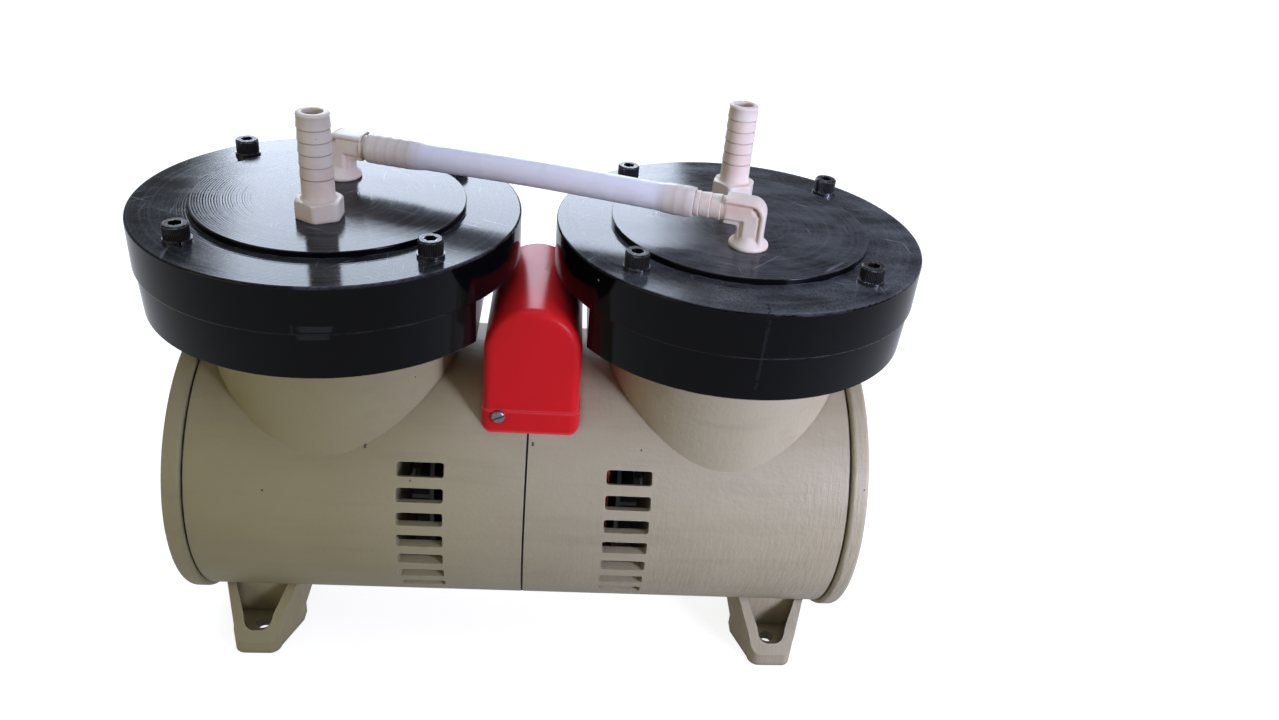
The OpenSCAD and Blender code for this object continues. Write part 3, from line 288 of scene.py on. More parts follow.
rubbed_mark, takes, gives = node_group(
    "rubbed_mark", {"Middle": ("Vector", (0, 0, 0)), "Half Size": ("Vector", (0.01, 0.01, 0.01)),
                    "Ragged": ("Float", 0.3)}, ["Mask"])
spots = spots_on(rubbed_mark)
away = vector_maths(rubbed_mark, "SUBTRACT", spots, takes["Middle"])
share = vector_maths(rubbed_mark, "DIVIDE", away, takes["Half Size"])
x, y, z = parts_of(rubbed_mark, vector_maths(rubbed_mark, "ABSOLUTE", share))
furthest = maths(rubbed_mark, "MAXIMUM", x, maths(rubbed_mark, "MAXIMUM", y, z))
uneven = maths(rubbed_mark, "SUBTRACT", noise(rubbed_mark, spots, 420, 4, 0.65), 0.5)
torn = maths(rubbed_mark, "MULTIPLY_ADD", uneven, takes["Ragged"], furthest)
wire(rubbed_mark, gives["Mask"], ramp(rubbed_mark, torn, 0.8, 1.0, 1, 0))


def finish(name):
    """A new material, its nodes, its Principled shader and the spots on it."""
    material = bpy.data.materials.new(name)
    material.use_nodes = True
    tree = material.node_tree
    tree.nodes.clear()
    shader = add(tree, "BsdfPrincipled")
    add(tree, "OutputMaterial", {0: shader.outputs[0]})
    return material, tree, shader, spots_on(tree)


def feed(tree, shader, **sockets):
    """Values or links for the shader's sockets, with _ for the spaces in their names."""
    for name, value in sockets.items():
        wire(tree, shader.inputs[name.replace("_", " ")], value)


def layered(tree, base, *layers):
    """A colour with layers over it, each a mask and a screen colour."""
    for mask, tone in layers:
        base = blend_colours(tree, mask, base, colour(*tone))
    return base


def relief(tree, height, depth):
    """The normal of a surface with this relief, depth in metres."""
    return add(tree, "Bump", {"Height": height, "Distance": depth, "Strength": 1.0}).outputs[0]


def dress(material, *names):
    """Gives these CAD nodes the material."""
    for name in names:
        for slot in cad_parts[name].material_slots:
            slot.material = material


enamel, tree, shader, spots = finish("stone_enamel")
sideways = parts_of(tree, spots)["X"]
patches = noise(tree, spots, 9, 4, 0.55)
patchy = ramp(tree, patches, 0.3, 0.7)
# Towards the left end the enamel turns to a darker, yellower copy of itself: painted shade, for
# the weaker light on that end.
paint_on_right = blend_colours(tree, patchy, colour(170, 160, 131), colour(161, 150, 121))
painted_shade_on_left = blend_colours(tree, patchy, colour(165, 155, 115), colour(155, 145, 104))
streaks = noise(tree, scaled(tree, spots, (6, 60, 60)), 1.6, 4, 0.6)
# Within 6 mm of corners and recesses the enamel is painted darker, patchy along the streaks:
# painted shade.
corners = add(tree, "AmbientOcclusion", {"Distance": 0.006}, samples=6).outputs["AO"]
painted_corner_shade = product(tree, ramp(tree, corners, 0.35, 0.8, 0.75, 0),
                ramp(tree, streaks, 0.3, 0.6, 0.5, 1))
paint = layered(
    tree, blend_colours(tree, ramp(tree, sideways, 0.02, -0.12), paint_on_right, painted_shade_on_left),
    (ramp(tree, streaks, 0.5, 0.75, 0, 0.35), (142, 131, 106)),
    (mask_of(tree, dust, Grain=700, Cloud=26, Amount=0.35), (120, 110, 92)),
    (mask_of(tree, pin_holes, Count=46, Size=0.028, Share=0.08), (72, 66, 54)),
    (mask_of(tree, edge_wear_and_highlight, Width=0.0012, Patches=90, Amount=0.5), (190, 182, 165)),
    (painted_corner_shade, (70, 64, 50)))
nicks = (((-0.0918, -0.0614, 0.1635), (0.0006, 0.0013, 0.0013)),
         ((-0.0905, -0.0673, 0.1567), (0.0008, 0.0011, 0.0011)),
         ((0.0031, -0.064, 0.1607), (0.0008, 0.001, 0.001)),
         ((-0.1456, -0.0804, 0.133), (0.0006, 0.0007, 0.0007)))
for middle, half_size in nicks:
    nick = mask_of(tree, rubbed_mark, Middle=middle, Half_Size=half_size, Ragged=0.9)
    paint = layered(tree, paint, (nick, (80, 74, 60)))
peel = place(tree, orange_peel, Size=420, Lumps=70)["Height"]
pits = mask_of(tree, pin_holes, Count=210, Size=0.16, Share=0.12)
pitted = maths(tree, "SUBTRACT", peel, product(tree, pits, 1.2))
wrinkles = noise(tree, scaled(tree, spots, (420, 60, 60)), 1, 4, 0.6)
wrinkled = product(tree, ramp(tree, sideways, -0.02, 0.05),
                   ramp(tree, patches, 0.4, 0.6, 0.4, 2.8))
skin = maths(tree, "MULTIPLY_ADD", wrinkles, wrinkled, pitted)
feed(tree, shader, Base_Color=paint, Roughness=ramp(tree, patches, 0.2, 0.8, 0.42, 0.56),
     Normal=relief(tree, skin, 0.00022), Specular_IOR_Level=0.42)
dress(enamel, "left_housing", "right_housing", "left_end_cover", "right_end_cover")


# The gasket in the joint: a black sheet ring, pressed between the halves and flush with them.
# The diaphragms are of the same kind of rubber.

rubber, tree, shader, spots = finish("black_rubber")
mottle = noise(tree, spots, 300)
feed(tree, shader, Base_Color=blend_colours(tree, mottle, colour(9, 9, 9), colour(19, 18, 17)),
     Roughness=ramp(tree, mottle, 0.2, 0.8, 0.65, 0.85), Specular_IOR_Level=0.2,
     Normal=relief(tree, mottle, 0.0001))
dress(rubber, "seam_gasket", "left_diaphragm", "right_diaphragm")


# Screws of hardened steel with a black oxide finish: turned heads, rolled threads. The rims
# are rubbed bright by the key. They hold the lids, feet, heads and the two halves together.
# Those on top of the heads have knurled sides.

oxide, tree, shader, spots = finish("black_oxide_steel")
wear_and_edge_highlight = mask_of(tree, edge_wear_and_highlight, Width=0.0008, Patches=500, Amount=1.0)
stain = noise(tree, spots, 260, 4)
stained = ramp(tree, stain, 0.4, 0.75, 0, 0.6)
skin = blend_colours(tree, stained, colour(22, 21, 24), colour(52, 48, 47))
feed(tree, shader, Base_Color=layered(tree, skin, (wear_and_edge_highlight, (176, 174, 170))),
     Metallic=ramp(tree, wear_and_edge_highlight, 0, 1, 0.55, 0.95), Roughness=ramp(tree, stain, 0.2, 0.8, 0.3, 0.5),
     Normal=relief(tree, stain, 0.00008))
dress(oxide, "end_cover_screws", "tie_bolts", "tie_nuts", "foot_screws", "base_screws",
      "eccentric_set_screws")

head_r, screw_head_r, knurls = 0.105, 0.0065, 44
head_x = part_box("right_head_cover")[0][0] + head_r
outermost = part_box("head_screws")[1]
screw_off = (outermost[0] - head_x - screw_head_r, outermost[1] - screw_head_r, 0)
knurled, tree, shader, spots = finish("knurled_oxide_steel")
wear_and_edge_highlight = mask_of(tree, edge_wear_and_highlight, Width=0.0009, Patches=500, Amount=1.0)
one_side = vector_maths(tree, "ABSOLUTE", spots)
from_head = vector_maths(tree, "SUBTRACT", one_side, (head_x, 0, 0))
one_quarter = vector_maths(tree, "ABSOLUTE", from_head)
from_screw = parts_of(tree, vector_maths(tree, "SUBTRACT", one_quarter, screw_off))
around = maths(tree, "ARCTAN2", from_screw["Y"], from_screw["X"])
knurl = maths(tree, "SINE", product(tree, around, knurls))
upright = ramp(tree, upward(tree, "True Normal"), 0.2, 0.5, 1, 0)
stain = noise(tree, spots, 260, 4)
stained = ramp(tree, stain, 0.4, 0.75, 0, 0.6)
# The knurl's crests on the upright sides are painted lighter: a painted highlight on the ridges.
skin = layered(tree, blend_colours(tree, stained, colour(18, 18, 20), colour(46, 44, 44)),
               (product(tree, ramp(tree, knurl, 0.2, 1, 0, 0.3), upright), (92, 90, 90)),
               (wear_and_edge_highlight, (190, 189, 186)))
ridges = maths(tree, "MULTIPLY_ADD", product(tree, knurl, upright), 3, stain)
feed(tree, shader, Base_Color=skin, Metallic=ramp(tree, wear_and_edge_highlight, 0, 1, 0.5, 0.95),
     Roughness=ramp(tree, stain, 0.2, 0.8, 0.28, 0.46), Normal=relief(tree, ridges, 0.00009))
dress(knurled, "head_screws")


# The feet: aluminium castings screwed under the housing, one near each end of it. They are
# painted together with it, in the same stone-grey enamel.

dress(enamel, "left_foot", "right_foot")


# The motor: a stack of punched steel sheets with varnished copper coils, and in it the rotor
# on a ground shaft, with cast end rings, two plastic fans and two ball bearings. The rods,
# discs, valves and their screws are bare metal too.

laminations, tree, shader, spots = finish("sheet_steel_stack")
sheets = add(tree, "TexWave", {"Vector": spots, "Scale": 320.0, "Distortion": 0.4, "Detail": 1.0},
             bands_direction="X").outputs[1]
feed(tree, shader, Metallic=0.9, Roughness=ramp(tree, sheets, 0, 1, 0.5, 0.35),
     Base_Color=blend_colours(tree, sheets, colour(70, 68, 66), colour(112, 108, 102)),
     Normal=relief(tree, sheets, 0.0001))
dress(laminations, "stator_core", "rotor_core", "left_eccentric", "right_eccentric")

coil, tree, shader, spots = finish("varnished_copper")
turns = add(tree, "TexWave", {"Vector": spots, "Scale": 260.0, "Distortion": 3.0, "Detail": 2.0},
            bands_direction="X").outputs[1]
feed(tree, shader, Base_Color=blend_colours(tree, turns, colour(96, 44, 18), colour(186, 96, 44)),
     Metallic=0.75, Roughness=0.32, Coat_Weight=0.6, Normal=relief(tree, turns, 0.0004))
dress(coil, "stator_winding")


def metal(name, dark, light, roughness, scale=(700, 700, 700), depth=0.00005):
    """A bare metal with its grain and bright edges."""
    material, tree, shader, spots = finish(name)
    grain = noise(tree, scaled(tree, spots, scale), 1, 4, 0.6)
    wear_and_edge_highlight = mask_of(tree, edge_wear_and_highlight, Width=0.0005, Patches=200, Amount=0.6)
    body = blend_colours(tree, grain, colour(*dark), colour(*light))
    feed(tree, shader, Base_Color=layered(tree, body, (wear_and_edge_highlight, (215, 213, 208))), Metallic=0.95,
         Roughness=ramp(tree, grain, 0.25, 0.75, roughness - 0.08, roughness + 0.08),
         Normal=relief(tree, grain, depth))
    return material


dress(metal("ground_steel", (165, 166, 168), (198, 199, 201), 0.22, (80, 900, 900)),
      "motor_shaft", "left_bearing_inner_race", "right_bearing_inner_race", "bearing_balls",
      "left_bearing_outer_race", "right_bearing_outer_race", "left_rod_bearing",
      "right_rod_bearing")
dress(metal("cast_aluminium", (168, 170, 172), (200, 201, 203), 0.42, (260, 260, 260), 0.00015),
      "rotor_end_rings", "left_rod", "right_rod", "left_support_disc", "right_support_disc",
      "left_clamp_disc", "right_clamp_disc", "left_valve_plate", "right_valve_plate")
dress(metal("spring_steel", (120, 122, 126), (172, 174, 178), 0.3, (500, 60, 500)),
      "left_reed_valves", "right_reed_valves")
dress(metal("zinc_plated_steel", (176, 176, 172), (206, 206, 204), 0.34),
      "left_disc_screw", "right_disc_screw")


def plastic(name, dark, light, roughness):
    """A moulded plastic with a fine skin and some dust."""
    material, tree, shader, spots = finish(name)
    grain = noise(tree, spots, 500)
    dusty = mask_of(tree, dust, Grain=800, Cloud=30, Amount=0.3)
    body = blend_colours(tree, grain, colour(*dark), colour(*light))
    feed(tree, shader, Base_Color=layered(tree, body, (dusty, (150, 145, 138))),
         Roughness=ramp(tree, grain, 0.2, 0.8, roughness - 0.05, roughness + 0.05),
         Normal=relief(tree, grain, 0.00006))
    return material


dress(plastic("grey_fan_plastic", (84, 86, 88), (100, 102, 104), 0.45), "left_fan", "right_fan",
      "run_capacitor", "terminal_block")
dress(plastic("black_gland_plastic", (26, 26, 27), (38, 38, 39), 0.4), "cable_gland")


# The heads: a base and a cover, each turned from plate and sprayed gloss black. The turning
# marks show through the paint as rings round the middle, with dust and fine scratches on top.
# A spring washer of oiled steel lies under each screw.

turned_rings, takes, gives = node_group(
    "turned_rings", {"Middle": ("Vector", (0, 0, 0)), "Pitch": ("Float", 0.0012),
                     "Waver": ("Float", 0.0004)}, ["Height", "Band"])
spots = spots_on(turned_rings)
away = vector_maths(turned_rings, "SUBTRACT", spots, takes["Middle"])
flat = vector_maths(turned_rings, "MULTIPLY", away, (1, 1, 0))
reach = vector_maths(turned_rings, "LENGTH", flat)
wander = product(turned_rings, noise(turned_rings, spots, 22, 2), takes["Waver"])
turns = maths(turned_rings, "DIVIDE", maths(turned_rings, "ADD", reach, wander), takes["Pitch"])
groove = maths(turned_rings, "SINE", product(turned_rings, turns, 2 * pi))
line = add(turned_rings, "TexNoise", {"W": turns, "Scale": 0.37, "Detail": 5.0,
                                      "Roughness": 0.75}, noise_dimensions="1D").outputs[0]
wire(turned_rings, gives["Height"], maths(turned_rings, "MULTIPLY_ADD", groove, 0.35, line))
wire(turned_rings, gives["Band"], ramp(turned_rings, line, 0.42, 0.68))

hairlines, takes, gives = node_group(
    "hairlines", {"Length": ("Float", 30.0), "Count": ("Float", 400.0), "Amount": ("Float", 1.0)},
    ["Mask"])
spots = spots_on(hairlines)
scratches = 0
for angle in (0.4, 1.5, 2.3):
    squeezed = vector_maths(hairlines, "MULTIPLY", scaled(hairlines, spots, turn=angle),
                            (0.055, 1, 0.2))
    strand = ramp(hairlines, noise(hairlines, squeezed, takes["Count"], 2, 0.4), 0.685, 0.73)
    scratches = maths(hairlines, "MAXIMUM", scratches, strand)
patchy = ramp(hairlines, noise(hairlines, spots, takes["Length"], 2), 0.45, 0.6)
wire(hairlines, gives["Mask"], product(hairlines, scratches, patchy, takes["Amount"]))

split_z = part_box("right_head_cover")[0][2]
front_y, mark_depth = -head_r, 0.01
# Rubbed marks on the heads' front sides: x, height over the joint of base and cover, half the
# width, half the height, how ragged they are, and their colour.
head_marks = {
    "left": ((-0.1027, 0.0038, 0.0085, 0.0018, 0.4, (44, 47, 49)),
             (-0.1043, -0.0015, 0.0083, 0.0017, 0.5, (42, 43, 43)),
             (-0.1135, 0.003, 0.0008, 0.003, 1.5, (32, 33, 36))),
    "right": ((0.1165, 0.002, 0.0009, 0.0215, 3.6, (27, 27, 30)),
              (0.1304, 0.0004, 0.0267, 0.0005, 0.6, (52, 53, 54)))}
for side, middle, film, least, most in (("left", -head_x, (72, 75, 77), 0.1, 0.75),
                                        ("right", head_x, (99, 102, 105), 0.18, 0.92)):
    gloss, tree, shader, spots = finish(side + "_head_enamel")
    rings = place(tree, turned_rings, Middle=(middle, 0, 0), Pitch=0.0014, Waver=0.0007)
    lying = ramp(tree, upward(tree), 0.7, 0.98)
    wiped = noise(tree, scaled(tree, spots, (26, 60, 40), 0.5), 0.9, 5, 0.62)
    speckle = ramp(tree, noise(tree, spots, 1300, 2, 0.6), 0.38, 0.66, 0.4, 1.1)
    hazy = product(tree, ramp(tree, wiped, 0.36, 0.68, least, most), speckle, lying)
    scratched = product(tree, mask_of(tree, hairlines, Amount=0.8), lying, 0.55)
    # The pale grey along the heads' edges is a painted highlight, for the light their rounded
    # edges reflect.
    black = layered(
        tree, blend_colours(tree, hazy, colour(8, 8, 10), colour(*film)),
        (product(tree, rings["Band"], lying, 0.22), (100, 101, 102)),
        (scratched, (140, 144, 150)),
        (mask_of(tree, pin_holes, Count=120, Size=0.07, Share=0.05), (150, 152, 156)),
        (mask_of(tree, edge_wear_and_highlight, Width=0.0009, Patches=40, Amount=0.6), (112, 110, 120)))
    for x, above_joint, half_wide, half_high, ragged, tone in head_marks[side]:
        rubbed = mask_of(tree, rubbed_mark, Middle=(x, front_y, split_z + above_joint),
                         Half_Size=(half_wide, mark_depth, half_high), Ragged=ragged)
        black = layered(tree, black, (product(tree, rubbed, 0.85), tone))
    smear = ramp(tree, noise(tree, spots, 16, 4), 0.3, 0.7, 0.06, 0.11)
    grain = noise(tree, spots, 900, 2)
    skin = maths(tree, "MULTIPLY_ADD", grain, 0.35, product(tree, rings["Height"], lying))
    feed(tree, shader, Base_Color=black, IOR=1.23, Normal=relief(tree, skin, 0.000023),
         Roughness=maths(tree, "ADD", smear, product(tree, hazy, 0.16)))
    dress(gloss, side + "_head_cover", side + "_head_base")
dress(metal("oiled_spring_steel", (52, 52, 54), (120, 120, 122), 0.3), "spring_washers")


# The straight hose barbs: moulded in natural nylon, which has turned ivory, with a hexagon for
# the spanner and five rings that hold the hose. They are screwed into the covers.

def skin_of(name, rings, closed_ends=True):
    """A mesh through rings of points, one ring after another."""
    shape = bmesh.new()
    made = [[shape.verts.new(point) for point in ring] for ring in rings]
    count = len(rings[0])
    for lower, upper in zip(made, made[1:]):
        for k in range(count):
            shape.faces.new((lower[k], lower[(k + 1) % count], upper[(k + 1) % count], upper[k]))
    if closed_ends:
        shape.faces.new(list(reversed(made[0])))
        shape.faces.new(made[-1])
    bmesh.ops.recalc_face_normals(shape, faces=shape.faces)
    mesh = bpy.data.meshes.new(name)
    shape.to_mesh(mesh)
    shape.free()
    return mesh


def turned(name, profile, sides=72, outline=None):
    """A mesh turned from (radius, height) points. Outline gives a radius's limit at each angle."""
    rings = []
    for radius, level in profile:
        ring = []
        for k in range(sides):
            angle = 2 * pi * k / sides
            reach = radius if outline is None else min(radius, outline(angle, level))
            ring.append((reach * cos(angle), reach * sin(angle), level))
        rings.append(ring)
    return skin_of(name, rings, closed_ends=False)


def hollow_ends(profile):
    """The profile of a hollow piece, closed on itself by its last point."""
    return profile + [profile[0]]


def piece(name, mesh, material, body, shift=None, turn=None, sharp=30):
    """A finished piece in its place, smooth but for its sharp edges, riding on a body."""
    if turn is not None:
        mesh.transform(turn)
    if shift is not None:
        mesh.transform(Matrix.Translation(shift))
    mesh.materials.clear()
    mesh.materials.append(material)
    for face in mesh.polygons:
        face.use_smooth = True
    mesh.set_sharp_from_angle(angle=radians(sharp))
    made = bpy.data.objects.new(name, mesh)
    scene.collection.objects.link(made)
    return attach(made, body)


nylon, tree, shader, spots = finish("ivory_nylon")
cloud = noise(tree, spots, 120)
stained = ramp(tree, noise(tree, spots, 45, 3, 0.6), 0.45, 0.7, 0, 0.55)
# Within 2 mm of hollows and inner corners the ivory is painted darker and browner: painted shade.
painted_shade_in_hollows = add(tree, "AmbientOcclusion", {"Distance": 0.0022}, samples=6).outputs["AO"]
ivory = layered(
    tree, blend_colours(tree, cloud, colour(219, 208, 192), colour(228, 218, 203)),
    (stained, (218, 176, 156)),
    (ramp(tree, painted_shade_in_hollows, 0.4, 0.92, 0.7, 0), (156, 126, 108)),
    (mask_of(tree, pin_holes, Count=330, Size=0.1, Share=0.02), (176, 150, 132)))
feed(tree, shader, Base_Color=ivory, Roughness=ramp(tree, cloud, 0.3, 0.7, 0.34, 0.46), IOR=1.3,
     Subsurface_Weight=0.1, Subsurface_Radius=(0.9, 0.6, 0.45), Subsurface_Scale=0.003,
     Normal=relief(tree, cloud, 0.0001))

plateau_z = 0.2785
spigot_radius, spigot_foot = 0.0084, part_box("inlet_barb")[0][2] - plateau_z
hex_flat, hex_height, hex_cut, barb_top = 0.0115, 0.010, 0.0004, 0.0565
barb_radius, barb_bore, ring_pitch, ring_count, barb_nose = 0.0087, 0.0053, 0.0066, 5, 0.0014
ring_root = barb_radius - 0.0007


def hexagon(angle, level):
    """The hexagon's outline, with its corners broken, up to its height, and no limit above."""
    if level > hex_height:
        return 1
    across = (angle + pi / 6) % (pi / 3) - pi / 6
    return min(hex_flat / cos(across), hex_flat / cos(pi / 6) - hex_cut)


barb_profile = [(spigot_radius, spigot_foot), (spigot_radius, -0.0002), (0.0128, 0),
                (0.0133, 0.0005), (0.0133, hex_height - 0.0017), (0.0128, hex_height - 0.0009),
                (0.0121, hex_height - 0.0003), (0.0114, hex_height), (0.0095, hex_height),
                (barb_radius + 0.0003, hex_height + 0.00035),
                (barb_radius - 0.0001, hex_height + 0.0012)]
first_ring = barb_top - barb_nose - ring_count * ring_pitch
barb_profile.append((barb_radius - 0.0002, first_ring - 0.0006))
for k in range(ring_count):
    foot = first_ring + k * ring_pitch
    barb_profile += [(ring_root, foot - 0.0004), (ring_root, foot),
                     (barb_radius, foot + 0.0002), (barb_radius - 0.00005, foot + 0.0012),
                     (barb_radius - 0.0004, foot + ring_pitch - 0.0006)]
barb_profile += [(barb_radius - 0.0001, barb_top - 0.0013),
                 (barb_radius - 0.0004, barb_top - 0.0006),
                 (barb_radius - 0.0009, barb_top - 0.0002), (barb_radius - 0.0015, barb_top),
                 (barb_bore + 0.0003, barb_top), (barb_bore, barb_top - 0.0004),
                 (barb_bore, spigot_foot)]
for name, x, y, turn_by in (("inlet_barb", -head_x, -0.028, -2),
                            ("outlet_barb", head_x, 0.039, 43)):
    barb = piece(name + "_moulding", turned(name, hollow_ends(barb_profile), 144, hexagon),
                 nylon, "root", (x, y, plateau_z), Matrix.Rotation(radians(turn_by), 4, "Z"))
    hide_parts(name)


# The elbows: moulded like the barbs. Each has a bell-shaped foot, a leg and an arm with a thin
# web between them, a thick rim round the outside of the bend, and a barb for the tube.

rise, arm_end, elbow_half, rim_half, rim_thick = 0.0195, 0.015, 0.0075, 0.007, 0.0015
barb_end, elbow_ring, elbow_barb, elbow_bore = 0.047, 0.006, 0.0071, 0.0040
elbow_root, barb_foot = elbow_barb - 0.0006, arm_end - 0.0008
pipe_half, pipe_deep, pipe_bevel, knee_radius = 0.0065, 0.0063, 0.0099, 0.0062
at_axis = 0.0001
along_arm = Matrix.Translation((0, 0, rise)) @ Matrix.Rotation(pi / 2, 4, "Y")


def bend_outline(inset, steps=8):
    """The elbow's side view, x along the arm and z up, drawn in by the inset."""
    outer, inner, foot = 0.0085, 0.0015, 0.001
    points = [(-elbow_half + inset, foot), (-elbow_half + inset, rise + elbow_half - outer)]
    for k in range(1, steps + 1):
        angle = pi - pi / 2 * k / steps
        points.append((-elbow_half + outer + (outer - inset) * cos(angle),
                       rise + elbow_half - outer + (outer - inset) * sin(angle)))
    end = arm_end - 0.4 * inset
    points += [(end, rise + elbow_half - inset), (end, rise - elbow_half + inset)]
    for k in range(steps + 1):
        angle = pi / 2 + pi / 2 * k / steps
        points.append((elbow_half + inner + (inner + inset) * cos(angle),
                       rise - elbow_half - inner + (inner + inset) * sin(angle)))
    points.append((elbow_half - inset, foot))
    return points


def bend_rim(steps=16, sides=16):
    """The thick rim round the outside of the bend, from the foot to the arm's end."""
    rings = []
    outside = bend_outline(0, steps)[:steps + 3]
    for k, (x, z) in enumerate(outside):
        before, after = outside[max(k - 1, 0)], outside[min(k + 1, len(outside) - 1)]
        onward = Vector((after[0] - before[0], 0, after[1] - before[1])).normalized()
        inward = Vector((onward.z, 0, -onward.x))
        middle = Vector((x, 0, z)) + inward * rim_thick
        ring = []
        for j in range(sides):
            angle = 2 * pi * j / sides
            thick = rim_thick * (abs(cos(angle)) ** 0.6) * (1 if cos(angle) > 0 else -1)
            wide = rim_half * (abs(sin(angle)) ** 0.35) * (1 if sin(angle) > 0 else -1)
            ring.append(middle + inward * thick + Vector((0, wide, 0)))
        rings.append(ring)
    return skin_of("rim", rings)


def knee_ball():
    """The ball where the leg and the arm meet."""
    shape = bmesh.new()
    bmesh.ops.create_uvsphere(shape, u_segments=32, v_segments=20, radius=knee_radius)
    bmesh.ops.translate(shape, verts=shape.verts, vec=(0, 0, rise))
    mesh = bpy.data.meshes.new("knee")
    shape.to_mesh(mesh)
    shape.free()
    return mesh


def pipe_outline(angle, level):
    """The outline of the leg and arm, the same at each level: square, with broad bevels."""
    across, deep = max(abs(cos(angle)), 0.001), max(abs(sin(angle)), 0.001)
    return min(pipe_half / across, pipe_deep / deep, pipe_bevel / (across + deep))


def pipe(name, low, high):
    """A straight pipe of the elbow between these two levels."""
    profile = [(at_axis, low), (1, low), (1, high), (at_axis, high)]
    return turned(name, profile, 64, pipe_outline)


def join(parts, mesh):
    """Writes these parts to the mesh as one, with their outsides out."""
    whole = bmesh.new()
    for part in parts:
        whole.from_mesh(part)
    bmesh.ops.recalc_face_normals(whole, faces=whole.faces)
    whole.to_mesh(mesh)
    whole.free()


def fused(mesh):
    """The overlapping parts of a mesh as one skin, softened where they meet."""
    blank = bpy.data.objects.new(mesh.name + "_blank", mesh)
    scene.collection.objects.link(blank)
    fuse = blank.modifiers.new("fuse", "REMESH")
    fuse.mode, fuse.voxel_size = "VOXEL", 0.00038
    soften = blank.modifiers.new("soften", "SMOOTH")
    soften.factor, soften.iterations = 0.5, 5
    thin = blank.modifiers.new("thin", "DECIMATE")
    thin.ratio = 0.35
    bpy.context.view_layer.update()
    worked_out = blank.evaluated_get(bpy.context.evaluated_depsgraph_get())
    skin = bpy.data.meshes.new_from_object(worked_out)
    bpy.data.objects.remove(blank)
    return skin


def elbow_mesh(name):
    """The leg, web, pipes and rim as one soft-edged skin, and the turned barb and spigot."""
    web = [[(x, y, z) for x, z in bend_outline(inset)]
           for inset, y in ((0.0012, -0.0047), (0.0004, -0.0043), (0, -0.0035),
                            (0, 0.0035), (0.0004, 0.0043), (0.0012, 0.0047))]
    leg, arm = pipe("leg", 0.0005, rise), pipe("arm", 0, arm_end)
    arm.transform(along_arm)
    bell = turned("bell", [(at_axis, 0), (0.0106, 0), (0.011, 0.0004), (0.011, 0.0019),
                           (0.0106, 0.0026), (0.0096, 0.0034), (0.0086, 0.0044),
                           (0.0076, 0.0057), (0.0064, 0.007), (at_axis, 0.007)], 56)
    mesh = bpy.data.meshes.new(name)
    join((skin_of("web", web), bend_rim(), leg, arm, knee_ball(), bell), mesh)
    skin = fused(mesh)
    barb = [(elbow_barb, barb_foot), (elbow_barb - 0.0004, arm_end + 0.0001),
            (elbow_barb - 0.0005, arm_end + 0.0016)]
    for k in range(ring_count):
        foot = barb_end - (ring_count - k) * elbow_ring
        barb += [(elbow_root, foot - 0.0003), (elbow_root, foot), (elbow_barb, foot + 0.0003),
                 (elbow_barb - 0.0005, foot + elbow_ring - 0.0004)]
    barb += [(elbow_barb - 0.0010, barb_end), (elbow_bore, barb_end), (elbow_bore, barb_foot)]
    hose_end = turned("hose_end", hollow_ends(barb), 48)
    hose_end.transform(along_arm)
    spigot = turned("spigot", [(at_axis, 0.0004), (spigot_radius, 0.0004),
                               (spigot_radius, spigot_foot), (at_axis, spigot_foot)], 48)
    join((skin, hose_end, spigot), mesh)
    return mesh


left_port = Vector((-head_x, 0.030, plateau_z))
right_port = Vector((head_x, -0.033, plateau_z))
run = right_port - left_port
tube_turn = atan2(run.y, run.x)
for name, port, turn_by in (("left_elbow", left_port, tube_turn),
                            ("right_elbow", right_port, tube_turn + pi)):
    elbow = piece(name + "_moulding", elbow_mesh(name), nylon, "root", port,
                  Matrix.Rotation(turn_by, 4, "Z"), sharp=38)
    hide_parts(name)


# The connecting tube: natural silicone, 15 mm across, pushed over the barbs of both elbows. It
# bulges a little over each ring, and the ivory of the barbs shows through it at both ends.

tube_radius, tube_wall, bare_left, bare_right, tube_bow = 0.0076, 0.002, 0.003, 0.017, 0.0011
barb_stretch, bore_stretch, ring_bulge, bulge_half = 0.0007, 0.00158, 0.00024, 0.0028
bulge_foot, lines_end, tube_lip, barb_taper = 0.0012, barb_end - 0.0012, 0.0003, 0.005
tube_steps, path_steps = 150, 30
along = run.normalized()
aside = Vector((-along.y, along.x, 0))
tube_start, tube_end = arm_end + bare_left, run.length - arm_end - bare_right

silicone, tree, shader, spots = finish("milky_silicone")
cloud = noise(tree, spots, 60)
from_left = vector_maths(tree, "SUBTRACT", spots, tuple(left_port))
travel = vector_maths(tree, "DOT_PRODUCT", from_left, tuple(along))
over_left = ramp(tree, travel, barb_end - 0.003, barb_end + 0.006, 1, 0)
over_right = ramp(tree, travel, run.length - barb_end - 0.006, run.length - barb_end + 0.003)
over_barb = maths(tree, "MAXIMUM", over_left, over_right)
to_end = maths(tree, "MINIMUM", travel, maths(tree, "SUBTRACT", run.length, travel))
# Over the barbs the tube gets a thin darker line at each ring: painted shade of its ribs.
ring_turn = product(tree, maths(tree, "SUBTRACT", to_end, lines_end), 2 * pi / elbow_ring)
painted_rib_shade = ramp(tree, maths(tree, "COSINE", ring_turn), -0.3, -1, 0, 0.25)
milk = layered(
    tree, blend_colours(tree, cloud, colour(222, 220, 227), colour(231, 229, 235)),
    (product(tree, over_barb, 0.85), (214, 200, 186)),
    (product(tree, over_barb, painted_rib_shade), (180, 160, 142)))
feed(tree, shader, Base_Color=milk, Roughness=ramp(tree, cloud, 0.3, 0.7, 0.22, 0.32), IOR=1.36,
     Subsurface_Weight=0.6, Subsurface_Radius=(1, 0.95, 1), Subsurface_Scale=0.004,
     Normal=relief(tree, cloud, 0.0003))


def tube_travel(step, steps):
    """The distance from the left port at this one of the steps along the tube."""
    return tube_start + (tube_end - tube_start) * step / steps


def tube_middle(travel):
    """The tube's centre at this distance from the left port, bowed up a little."""
    share = (travel - tube_start) / (tube_end - tube_start)
    bow = tube_bow * sin(pi * min(max(share, 0), 1)) ** 2
    return left_port + along * travel + Vector((0, 0, rise + bow))


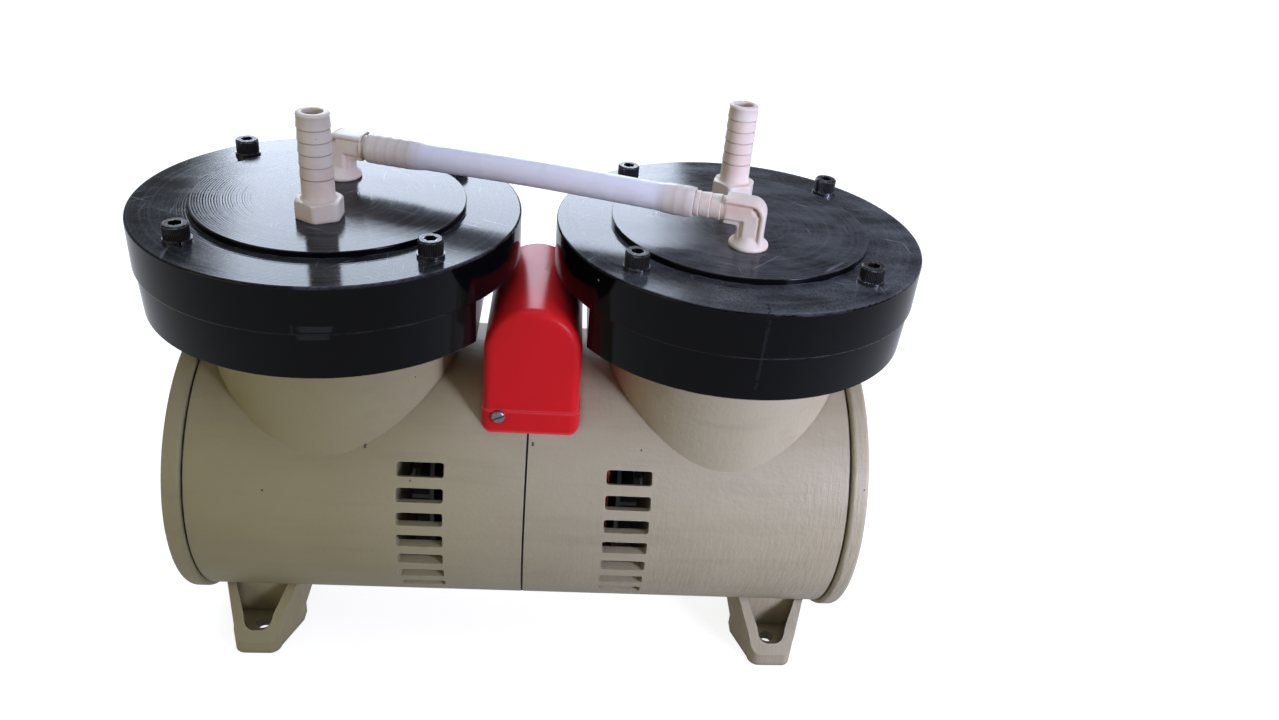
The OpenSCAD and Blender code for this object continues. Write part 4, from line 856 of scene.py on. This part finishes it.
def stretched(travel):
    """How far the barbs stretch the tube there, from 0 to 1."""
    deep = max(barb_end - travel, travel - (run.length - barb_end))
    return min(max(1 + deep / barb_taper, 0), 1)


def tube_reach(travel):
    """The tube's outer radius there: wider on the barbs, and most over each ring."""
    reach = tube_radius + barb_stretch * stretched(travel)
    for end, inward in ((barb_end, 1), (run.length - barb_end, -1)):
        for k in range(ring_count):
            bulge = end - inward * ((k + 1) * elbow_ring - bulge_foot)
            reach += ring_bulge * max(0, 1 - ((travel - bulge) / bulge_half) ** 2)
    return reach


def tube_ring(travel, reach, sides=40):
    """A ring of points round the tube's centre there, this far from it."""
    centre = tube_middle(travel)
    return [centre + aside * reach * cos(angle) + Vector((0, 0, reach * sin(angle)))
            for angle in (2 * pi * j / sides for j in range(sides))]


rings = []
for k in range(tube_steps + 1):
    travel = tube_travel(k, tube_steps)
    lip = tube_lip if k in (0, tube_steps) else 0
    rings.append(tube_ring(travel, tube_reach(travel) - lip))
for k in range(tube_steps, -1, -6):
    travel = tube_travel(k, tube_steps)
    rings.append(tube_ring(travel, tube_radius - tube_wall + bore_stretch * stretched(travel)))
rings.append(rings[0])
tube = piece("silicone_tube", skin_of("silicone_tube", rings, closed_ends=False), silicone,
             "root", sharp=60)
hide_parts("connecting_tube")


# The terminal cover: a vacuum-formed hood of glossy red plastic with a turned-out lip. One
# slotted screw holds it in front and one behind.

red, tree, shader, spots = finish("red_cover_plastic")
cloud = noise(tree, spots, 30, 4)
body = blend_colours(tree, cloud, colour(201, 28, 31), colour(213, 31, 36))
# Every edge and crease of the hood is painted a paler red all along: a painted highlight, for the
# light a rounded edge catches.
wear_and_edge_highlight = mask_of(tree, edge_wear_and_highlight, Width=0.0024, Amount=0.5, Unbroken=1)
ripple = noise(tree, spots, 60, 1)
feed(tree, shader, Base_Color=layered(tree, body, (wear_and_edge_highlight, (230, 92, 96))), IOR=1.22,
     Roughness=ramp(tree, cloud, 0.3, 0.7, 0.26, 0.36), Normal=relief(tree, ripple, 0.0002))
dress(red, "terminal_cover")
dress(metal("dull_zinc", (112, 114, 116), (150, 152, 154), 0.42), "cover_screws")
